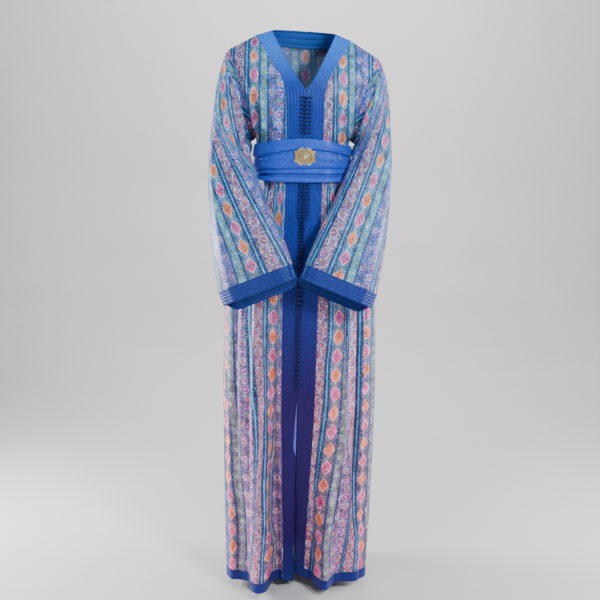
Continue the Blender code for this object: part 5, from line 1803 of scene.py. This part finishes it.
class CAFTAN_OT_brooch(PieceOperator, bpy.types.Operator):
    """Finish the brooch's metal and stone, and set its wires, grains and lugs"""

    bl_idname = "caftan.brooch"
    bl_label = "Brooch"

    def make(self, context):
        low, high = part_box("brooch_plate")
        centre = ((low[0] + high[0]) / 2, low[1], (low[2] + high[2]) / 2)
        for node, name in (("brooch_plate", "gilt_ground"), ("brooch_stone", "cut_crystal")):
            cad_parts[node].material_slots[0].material = chosen(name)
        wires = [self.ring(centre, *row) for row in BROOCH_WIRES]
        beads = []
        for row in BROOCH_BEADS:
            beads += self.beads(centre, *row)
        out, up = BROOCH_LUGS
        lugs = [self.ring((centre[0] + x * out, centre[1], centre[2] + z * up), *LUG_WIRE)
                for x in (-1, 1) for z in (-1, 1)]
        bpy.ops.object.select_all(action="DESELECT")
        for item in wires + beads + lugs:
            item.select_set(True)
        bpy.context.view_layer.objects.active = wires[0]
        bpy.ops.object.join()
        piece = bpy.context.view_layer.objects.active
        piece.name = "brooch_filigree"
        bpy.ops.object.transform_apply(location=True, rotation=True, scale=True)
        piece.data.materials.clear()
        enrol(piece, "gilt_metal", chosen("gilt_filigree"))

    def ring(self, centre, radius, thick, deep):
        """A ring of wire, facing the front."""
        bpy.ops.object.select_all(action="DESELECT")
        bpy.ops.mesh.primitive_torus_add(
            major_segments=48, minor_segments=8, major_radius=radius, minor_radius=thick,
            location=(centre[0], centre[1] + deep, centre[2]), rotation=(math.pi / 2, 0, 0))
        bpy.ops.object.shade_smooth()
        return bpy.context.view_layer.objects.active

    def beads(self, centre, radius, size, deep, count):
        """A ring of grains of metal, one modelled and the rest copied from it."""
        bpy.ops.object.select_all(action="DESELECT")
        bpy.ops.mesh.primitive_uv_sphere_add(segments=8, ring_count=6, radius=size)
        first = bpy.context.view_layer.objects.active
        bpy.ops.object.shade_smooth()
        made = [first] + [placed("grain", first.data.copy()) for _ in range(count - 1)]
        for k, item in enumerate(made):
            angle = 2 * math.pi * k / count
            item.scale = (1.0, 0.8, 1.0)
            item.location = (centre[0] + radius * math.cos(angle), centre[1] + deep,
                             centre[2] + radius * math.sin(angle))
        return made


class CAFTAN_OT_stage(PieceOperator, bpy.types.Operator):
    """Make the pale sweep, the lights and the camera"""

    bl_idname = "caftan.stage"
    bl_label = "Stage"

    def make(self, context):
        points = [(x, y, FLOOR_Z + z) for y, z in SWEEP
                  for x in (-SWEEP_HALF_WIDTH, SWEEP_HALF_WIDTH)]
        faces = [(2 * k, 2 * k + 1, 2 * k + 3, 2 * k + 2) for k in range(len(SWEEP) - 1)]
        mesh = bpy.data.meshes.new("sweep")
        mesh.from_pydata(points, [], faces)
        mesh.shade_smooth()
        mesh.materials.append(studio_sweep())
        sweep = placed("sweep", mesh)
        for name, spot, aim, size, power, tone in LIGHTS:
            data = bpy.data.lights.new(name, "AREA")
            data.size = size
            data.energy = power
            data.color = tone
            lamp = placed(name, data)
            lamp.location = spot
            lamp.rotation_euler = direction_to(spot, aim)
        world = bpy.data.worlds.new("studio")
        world.use_nodes = True
        background = world.node_tree.nodes["Background"]
        feed(world.node_tree, background, (solid(WORLD_COLOUR), WORLD_STRENGTH))
        context.scene.world = world
        data = bpy.data.cameras.new("camera")
        data.lens = CAMERA_LENS
        camera = placed("camera", data)
        camera.location = CAMERA_PLACE
        tilt = Matrix.Rotation(math.radians(90 - CAMERA_TILT), 4, "X")
        roll = Matrix.Rotation(math.radians(CAMERA_ROLL), 4, "Z")
        camera.rotation_euler = (tilt @ roll).to_euler()
        context.scene.camera = camera


def direction_to(spot, aim):
    """The turn that points a light at its aim."""
    return (Vector(aim) - Vector(spot)).to_track_quat("-Z", "Y").to_euler()


class CAFTAN_PT_panel(bpy.types.Panel):
    """The add-on's panel in the sidebar."""

    bl_idname = "CAFTAN_PT_panel"
    bl_label = "Moroccan caftan"
    bl_space_type = "VIEW_3D"
    bl_region_type = "UI"
    bl_category = "Caftan"

    def draw(self, context):
        layout = self.layout
        for group in (context.scene.caftan_sizes, context.scene.caftan_colours):
            box = layout.box()
            for name in group.__annotations__:
                box.prop(group, name)
        for operator in OPERATORS:
            layout.operator(operator.bl_idname)


OPERATORS = (CAFTAN_OT_panels, CAFTAN_OT_bands, CAFTAN_OT_sleeves, CAFTAN_OT_belt,
             CAFTAN_OT_knots, CAFTAN_OT_brooch, CAFTAN_OT_stage)
CLASSES = (CaftanSizes, CaftanColours, *OPERATORS, CAFTAN_PT_panel)


def register():
    """Add the add-on's classes and its settings."""
    for item in CLASSES:
        bpy.utils.register_class(item)
    bpy.types.Scene.caftan_sizes = bpy.props.PointerProperty(type=CaftanSizes)
    bpy.types.Scene.caftan_colours = bpy.props.PointerProperty(type=CaftanColours)


def unregister():
    """Remove them again."""
    del bpy.types.Scene.caftan_colours
    del bpy.types.Scene.caftan_sizes
    for item in reversed(CLASSES):
        bpy.utils.unregister_class(item)


def main():
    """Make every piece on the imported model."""
    register()
    bpy.ops.caftan.panels()
    bpy.ops.caftan.bands()
    bpy.ops.caftan.sleeves()
    bpy.ops.caftan.belt()
    bpy.ops.caftan.knots()
    bpy.ops.caftan.brooch()
    bpy.ops.caftan.stage()


if __name__ == "__main__":
    main()
